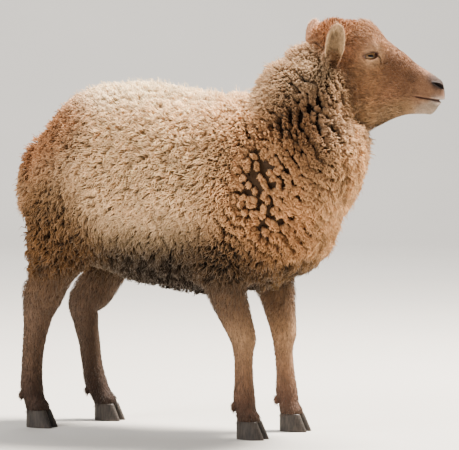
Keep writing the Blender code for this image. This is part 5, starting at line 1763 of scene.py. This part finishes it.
def speckled(tree, source, low, high, *noises):
    """A colour multiplied by greys between low and high, taken from noises of several scales."""
    where = node(tree, "ShaderNodeTexCoord")
    colour = source
    for scale, detail in noises:
        spread = node(tree, "ShaderNodeMapRange", From_Min=0.3, From_Max=0.7, To_Min=low, To_Max=high)
        tree.links.new(noise(tree, where.outputs["Object"], scale, detail), spread.inputs["Value"])
        colour = blended_colours(tree, colour, spread.outputs["Result"], kind="MULTIPLY")
    return colour, where.outputs["Object"]


def coat_material(name, look, roughness, sheen, low, high, *noises):
    """Wool or hair: the painted markings with a fine mottle, rough, with a soft sheen."""
    material, tree = new_material(name)
    shade = node(tree, "ShaderNodeAttribute", attribute_name="shade")
    colour, _ = speckled(tree, shade.outputs["Color"], low, high, *noises)
    gloss = {"Roughness": roughness, "Specular_IOR_Level": look.coat_gloss}
    return finish(material, colour, **gloss, Sheen_Weight=sheen, Sheen_Roughness=0.45, Sheen_Tint=SHEEN_TINT)


def roughen(material, grain, depth):
    """Adds a bump of noise at a grain (repeats a metre) and depth."""
    tree = material.node_tree
    where = node(tree, "ShaderNodeTexCoord")
    bumped(tree, noise(tree, where.outputs["Object"], grain, 4, 0.65), 1.0, depth)


def skin_material(look):
    """The skin under the coat: the same markings, with a bump of short flat hair."""
    material, tree = new_material("ewe_skin")
    shade = node(tree, "ShaderNodeAttribute", attribute_name="shade")
    colour, where = speckled(tree, shade.outputs["Color"], 0.80, 1.20, (420, 3), (90, 2))
    bumped(tree, noise(tree, where, 900, 3, 0.7), look.bump, 0.0006)
    return finish(material, colour, Roughness=0.82, Specular_IOR_Level=look.coat_gloss)


def ramp(tree, source, stops):
    """A colour ramp over a value, from stops of place and colour."""
    made = node(tree, "ShaderNodeValToRGB")
    elements = made.color_ramp.elements
    while len(elements) < len(stops):
        elements.new(0.5)
    for element, (place, colour) in zip(elements, stops):
        element.position = place
        element.color = (*colour, 1)
    tree.links.new(source, made.inputs["Fac"])
    return made.outputs["Color"]


def arithmetic(tree, operation, *sources):
    """One sum on values or numbers."""
    made = node(tree, "ShaderNodeMath", operation=operation)
    for k, source in enumerate(sources):
        if isinstance(source, (int, float)):
            made.inputs[k].default_value = source
        else:
            tree.links.new(source, made.inputs[k])
    return made.outputs["Value"]


def eye_material(look):
    """A wet eye: brown white, amber iris with radial fibres and a level slot of a pupil."""
    material, tree = new_material("wet_eye")
    place = node(tree, "ShaderNodeAttribute", attribute_name="eye_place")
    parts = node(tree, "ShaderNodeSeparateXYZ")
    tree.links.new(place.outputs["Vector"], parts.inputs["Vector"])
    across, over = parts.outputs["X"], parts.outputs["Y"]
    squares = [arithmetic(tree, "MULTIPLY", part, part) for part in (across, over)]
    distance = arithmetic(tree, "SQRT", arithmetic(tree, "ADD", *squares))
    turn = arithmetic(tree, "ARCTAN2", over, across)
    spokes = node(tree, "ShaderNodeCombineXYZ")
    tree.links.new(arithmetic(tree, "MULTIPLY", turn, 9.0), spokes.inputs["X"])
    tree.links.new(arithmetic(tree, "MULTIPLY", distance, 2.5), spokes.inputs["Y"])
    fibres = noise(tree, spokes.outputs["Vector"], 2.2, 4, 0.7)
    iris = ramp(tree, fibres, ((0.30, tuple(look.iris_dark)), (0.70, tuple(look.iris_light))))
    ring = ramp(tree, distance, EYE_BANDS)
    inside = ramp(tree, distance, ((0.62, (1, 1, 1)), (0.68, (0, 0, 0))))
    ball = blended_colours(tree, ring, blended_colours(tree, iris, ring, kind="MULTIPLY"), inside)
    reaches = []
    for part, half in ((across, look.pupil_half_length), (over, look.pupil_half_height)):
        share = arithmetic(tree, "ABSOLUTE", arithmetic(tree, "DIVIDE", part, half))
        reaches.append(arithmetic(tree, "POWER", share, 3.0))
    slot = ramp(tree, arithmetic(tree, "ADD", *reaches), ((0.80, (1, 1, 1)), (1.0, (0, 0, 0))))
    eye = blended_colours(tree, ball, PUPIL, slot)
    wet = {"Coat_Weight": 0.10, "Coat_Roughness": 0.02}
    return finish(material, eye, Roughness=0.20, Specular_IOR_Level=0.22, **wet)


def horn_material(look):
    """Dark hoof horn: streaks down the wall and scuffs towards the sole."""
    material, tree = new_material("hoof_horn")
    where = node(tree, "ShaderNodeTexCoord")
    stretched = node(tree, "ShaderNodeMapping", Scale=(1, 1, 0.18))
    tree.links.new(where.outputs["Object"], stretched.inputs["Vector"])
    streaks = noise(tree, stretched.outputs["Vector"], 320, 3)
    colour = ramp(tree, streaks, ((0.35, tuple(look.dark)), (0.70, tuple(look.light))))
    bumped(tree, streaks, 0.4, 0.0004)
    return finish(material, colour, Roughness=0.55)


class SkinLook(PropertyGroup):
    voxel: FloatProperty(name="Skin grain", description="Size of its faces", default=0.0058, unit="LENGTH")
    smoothing: IntProperty(name="Smoothing", description="Rounds that soften where limbs meet", default=14)
    tendon_groove: FloatProperty(
        name="Tendon groove", description="Depth beside the tendons", default=0.0016, unit="LENGTH"
    )
    # Painted shade: shares of colour left on the skin under the clefts of the knobs and under other wool.
    knob_cleft_painted_shade: FloatProperty(name="Under knobs", description="Share of colour in clefts", default=0.06)
    wool_painted_shade: FloatProperty(name="Under wool", description="Share of colour under wool", default=0.45)
    bump: FloatProperty(name="Hair bump", description="Strength of the bump", default=0.6, subtype="FACTOR")
    coat_gloss: FloatProperty(name="Gloss", description="Specular level of the skin", default=0.25)


class FleeceLook(PropertyGroup):
    candidates: IntProperty(name="Candidates", description="Places tried for each lock", default=1100000)
    seed: IntProperty(name="Seed", description="Seed of the random draws", default=11)
    spacing: FloatProperty(name="Spacing", description="Between curls", default=0.0034, unit="LENGTH")
    gathering: FloatProperty(name="Gathering", description="Scale of the gatherings of curls", default=1.25)
    wool_edge: FloatProperty(name="Wool edge", description="Share of wool at which curls stop", default=0.45)
    unevenness: FloatProperty(name="Unevenness", description="How gatherings differ in height", default=0.07)
    waywardness: FloatProperty(
        name="Waywardness", description="How far curls stray from the lie", default=0.30, subtype="ANGLE"
    )
    gathering_squeeze: FloatProperty(
        name="Squeeze", description="How wide gatherings are as a share of their length", default=0.66
    )
    cleft_depth: FloatProperty(name="Clefts", description="How curls shorten by a cleft", default=0.78)
    # Painted shade of curls in clefts and between gatherings.
    cleft_painted_shade: FloatProperty(name="Cleft shade", description="How curls darken by a cleft", default=0.85)
    cleft_thinning: FloatProperty(name="Thinning", description="Curls left out of clefts", default=0.95)
    felt_grain: FloatProperty(name="Felt grain", description="Repeats in a metre", default=430.0)
    felt_depth: FloatProperty(name="Felt depth", description="Depth of bump", default=0.003, unit="LENGTH")
    stray_share: FloatProperty(name="Strays", description="Share of thin locks that stand out", default=0.07)
    gather_pull: FloatProperty(name="Pull", description="How far curls lean to their gathering", default=0.72)
    knob_pinch: FloatProperty(name="Knobs from", description="Pinch at which cores start", default=0.66)
    knob_shade: FloatProperty(name="Knob shade", description="Share of colour on the cores", default=0.80)
    # Painted shade at the roots of the knobs' cores.
    knob_root_painted_shade: FloatProperty(name="Knob root", description="Share of colour at the root", default=0.03)
    tone_variation: FloatProperty(name="Tones", description="How much curls differ in tone", default=0.085)
    coat_gloss: FloatProperty(name="Gloss", description="Specular level of the wool", default=0.12)
    sheen: FloatProperty(name="Sheen", description="Soft sheen of the wool", default=0.17, subtype="FACTOR")


class HairLook(PropertyGroup):
    candidates: IntProperty(name="Candidates", description="Places tried for each tuft", default=1100000)
    seed: IntProperty(name="Seed", description="Seed of the random draws", default=31)
    face_spacing: FloatProperty(name="Face spacing", description="On the face", default=0.0025, unit="LENGTH")
    ear_spacing: FloatProperty(name="Ear spacing", description="On the ears", default=0.0023, unit="LENGTH")
    leg_spacing: FloatProperty(name="Leg spacing", description="On the legs", default=0.0036, unit="LENGTH")
    # Painted shade at the roots of the hair.
    hair_root_painted_shade: FloatProperty(name="Root shade", description="Share of colour at the root", default=0.62)
    grizzle: FloatProperty(name="Grizzle", description="How much hairs differ in tone", default=0.27)
    coat_gloss: FloatProperty(name="Gloss", description="Specular level of the hair", default=0.30)


class EyeLook(PropertyGroup):
    iris_light: FloatVectorProperty(
        name="Iris", description="Amber of the iris", default=(0.30, 0.165, 0.065), subtype="COLOR"
    )
    iris_dark: FloatVectorProperty(
        name="Iris shade", description="Its dark fibres", default=(0.06, 0.033, 0.018), subtype="COLOR"
    )
    pupil_half_length: FloatProperty(name="Pupil length", description="Half length as a share", default=0.42)
    pupil_half_height: FloatProperty(name="Pupil height", description="Half height as a share", default=0.15)
    pupil_tilt: FloatProperty(
        name="Pupil tilt", description="Turn that levels it", default=math.radians(-14), subtype="ANGLE"
    )


class HoofLook(PropertyGroup):
    dark: FloatVectorProperty(
        name="Horn", description="Dark of the horn", default=(0.012, 0.009, 0.007), subtype="COLOR"
    )
    light: FloatVectorProperty(
        name="Horn streaks", description="Paler streaks", default=(0.052, 0.038, 0.028), subtype="COLOR"
    )
    growth_ridge: FloatProperty(name="Ridges", description="Height of the growth ridges", default=0.010)
    growth_rings: FloatProperty(name="Rings", description="How many ridges ring a claw", default=7.0)


class StageLook(PropertyGroup):
    floor: FloatVectorProperty(
        name="Floor", description="Colour of the floor", default=(0.50, 0.48, 0.45), subtype="COLOR"
    )
    sky: FloatVectorProperty(
        name="Room", description="Colour of the light all round", default=(0.80, 0.83, 0.88), subtype="COLOR"
    )
    sky_power: FloatProperty(name="Room light", description="Strength of the light all round", default=0.34)
    key_power: FloatProperty(name="Key light", description="Power of the light over the back", default=900.0)
    fill_power: FloatProperty(name="Fill light", description="Power of the light in front", default=205.0)
    wall_power: FloatProperty(name="Wall light", description="Power on the backdrop", default=900.0)


class EWE_OT_skin(Operator):
    """Builds the skin of the body, head, ears and legs as one closed surface"""

    bl_idname = "ewe.skin"
    bl_label = "Skin"

    def execute(self, context):
        look = context.scene.ewe_skin
        skin = make_skin_body(look)
        points, normals = read_points(skin.data), read(skin.data.vertex_normals, "vector")
        parted = ease(pinch_of_wool(points, zone_weights(points)), 0.3, 0.7)
        # Painted shade: the skin under the wool is darkened, nearly to black in the clefts of the knobs.
        under = look.knob_cleft_painted_shade + (look.wool_painted_shade - look.knob_cleft_painted_shade) * (1 - parted)
        paint(skin, markings(points, normals) * (1 - (1 - under) * wool_share(points))[:, None])
        nodes = ["head", "ear_left", "ear_right", "neck", "torso", "tail", "thigh_left", "thigh_right"]
        dressed(skin, skin_material(look), "face_hair", *nodes, *STRIDES)
        return {"FINISHED"}


class EWE_OT_fleece(Operator):
    """Grows the wool of the body, neck and thighs in locks over the skin"""

    bl_idname = "ewe.fleece"
    bl_label = "Fleece"

    def execute(self, context):
        look = context.scene.ewe_fleece
        wool = coat_material("fleece_wool", look, 0.85, look.sheen, 0.86, 1.14, (260, 2), (28, 2))
        felt = coat_material("felted_wool", look, 0.88, look.sheen, 0.62, 1.30, (430, 3), (28, 2))
        roughen(felt, look.felt_grain, look.felt_depth)
        grow_fleece(bpy.data.objects["skin"], look, wool, felt)
        return {"FINISHED"}


class EWE_OT_hair(Operator):
    """Grows the short hair of the face, ears and legs"""

    bl_idname = "ewe.hair"
    bl_label = "Short hair"

    def execute(self, context):
        look = context.scene.ewe_hair
        skin = bpy.data.objects["skin"]
        hair = coat_material("short_hair", look, 0.70, 0.15, 0.74, 1.26, (230, 3), (90, 2))
        grow_face_hair(skin, look, hair)
        grow_ear_hair(skin, look, hair)
        grow_leg_hair(skin, look, hair)
        return {"FINISHED"}


class EWE_OT_eyes(Operator):
    """Builds both eyes with amber irises and level pupils"""

    bl_idname = "ewe.eyes"
    bl_label = "Eyes"

    def execute(self, context):
        look = context.scene.ewe_eyes
        material = eye_material(look)
        for side, side_sign in (("left", 1), ("right", -1)):
            make_eye(side, side_sign, look, material)
        return {"FINISHED"}


class EWE_OT_hooves(Operator):
    """Builds the eight claws of the cloven hooves"""

    bl_idname = "ewe.hooves"
    bl_label = "Hooves"

    def execute(self, context):
        look = context.scene.ewe_hooves
        material = horn_material(look)
        for name in STRIDES:
            for place, inner in (("inner", True), ("outer", False)):
                node_name = name.replace("leg", "_hoof") + "_" + place
                made = build("claw_" + name + "_" + place, *claw(name, inner, 26, 44, look))
                dressed(made, material, "horn", node_name)
        return {"FINISHED"}


class EWE_OT_stage(Operator):
    """Sets the pale floor, the soft studio lights and the camera at the photograph's angle"""

    bl_idname = "ewe.stage"
    bl_label = "Stage"

    def execute(self, context):
        look = context.scene.ewe_stage
        set_floor(look)
        set_lights(look)
        set_camera()
        return {"FINISHED"}


class EWE_PT_panel(Panel):
    """Lists the steps that build the ewe"""

    bl_label = "Ewe"
    bl_space_type = "VIEW_3D"
    bl_region_type = "UI"
    bl_category = "Ewe"

    def draw(self, context):
        for step in STEPS:
            self.layout.operator("ewe." + step)
        for group in LOOKS.values():
            settings = getattr(context.scene, group)
            for key in settings.bl_rna.properties.keys():
                if key not in ("name", "rna_type"):
                    self.layout.prop(settings, key)


def set_floor(look):
    """A pale floor that curves up into a backdrop: a level run, a quarter round and an upright, drawn out."""
    turn = np.linspace(0, math.pi / 2, 24)
    curve = BACKDROP + BACKDROP_ROUND * np.sin(turn)
    along = np.concatenate([[-FLOOR_REACH], curve, [BACKDROP + BACKDROP_ROUND]])
    height = np.concatenate([[0.0], BACKDROP_ROUND * (1 - np.cos(turn)), [BACKDROP_TOP]])
    line = along[:, None] * SIGHT + height[:, None] * UPWARDS
    points = line[:, None] + np.array((FLOOR_REACH, -FLOOR_REACH))[None, :, None] * RIGHT
    rows = np.arange(len(along) - 1)[:, None] * 2
    made = build("floor", points, [rows + np.array((0, 1, 3, 2))])
    made.data.shade_smooth()
    material, tree = new_material("pale_floor")
    base = node(tree, "ShaderNodeRGB")
    base.outputs[0].default_value = (*look.floor, 1)
    colour, _ = speckled(tree, base.outputs[0], 0.985, 1.015, (1.5, 2))
    made.data.materials.append(finish(material, colour, Roughness=0.9))


def add_light(name, place, aim, size, power_watts, colour):
    """A soft square light at a place, turned to a point."""
    light = bpy.data.lights.new(name, "AREA")
    light.size = size
    light.energy = power_watts
    light.color = colour
    made = bpy.data.objects.new(name, light)
    bpy.context.scene.collection.objects.link(made)
    made.location = place
    made.rotation_euler = (Vector(aim) - Vector(place)).to_track_quat("-Z", "Y").to_euler()


def set_lights(look):
    """Light all round, a large warm one over the back, one on the backdrop and a faint one in front."""
    world = bpy.data.worlds.new("room")
    world.use_nodes = True
    background = world.node_tree.nodes["Background"]
    background.inputs["Color"].default_value = (*look.sky, 1)
    background.inputs["Strength"].default_value = look.sky_power
    bpy.context.scene.world = world
    add_light("key", (0.9, 1.1, 3.1), (0, 0, 0.4), 0.9, look.key_power, (1.0, 0.92, 0.82))
    wall_from, wall_to = SIGHT * 4.5 + (0, 0, 6.0), SIGHT * 8.5 + (0, 0, 1.2)
    add_light("wall", wall_from, wall_to, 4.0, look.wall_power, (1.0, 0.98, 0.95))
    add_light("fill", (-1.7, -2.7, 2.5), (0, 0, 0.4), 1.6, look.fill_power, (1.0, 0.97, 0.93))


def set_camera():
    """The camera where the photograph was taken from."""
    place = -SIGHT * CAMERA_DISTANCE
    place[2] = CAMERA_HEIGHT
    across = (PICTURE_WIDTH / 2 - PRINCIPAL_U) / FOCAL_PIXELS
    down = (PICTURE_HEIGHT / 2 - PRINCIPAL_V) / FOCAL_PIXELS
    look_along = SIGHT + RIGHT * across - np.array((0, 0, down))
    lens = bpy.data.cameras.new("camera")
    lens.lens = lens.sensor_width * FOCAL_PIXELS / PICTURE_WIDTH
    lens.clip_end = 100
    made = bpy.data.objects.new("camera", lens)
    bpy.context.scene.collection.objects.link(made)
    made.location = Vector(place - ROW_ORIGIN)
    made.rotation_euler = Vector(look_along).to_track_quat("-Z", "Y").to_euler()
    bpy.context.scene.camera = made


STEPS = ("skin", "fleece", "hair", "eyes", "hooves", "stage")
LOOKS = {
    SkinLook: "ewe_skin",
    FleeceLook: "ewe_fleece",
    HairLook: "ewe_hair",
    EyeLook: "ewe_eyes",
    HoofLook: "ewe_hooves",
    StageLook: "ewe_stage",
}
OPERATORS = (EWE_OT_skin, EWE_OT_fleece, EWE_OT_hair, EWE_OT_eyes, EWE_OT_hooves, EWE_OT_stage)


def register():
    for kind in (*LOOKS, *OPERATORS, EWE_PT_panel):
        bpy.utils.register_class(kind)
    for kind, name in LOOKS.items():
        setattr(bpy.types.Scene, name, PointerProperty(type=kind))


def unregister():
    for name in LOOKS.values():
        delattr(bpy.types.Scene, name)
    for kind in (EWE_PT_panel, *reversed(OPERATORS), *reversed(LOOKS)):
        bpy.utils.unregister_class(kind)


def main():
    register()
    for step in STEPS:
        getattr(bpy.ops.ewe, step)()


if __name__ == "__main__":
    main()
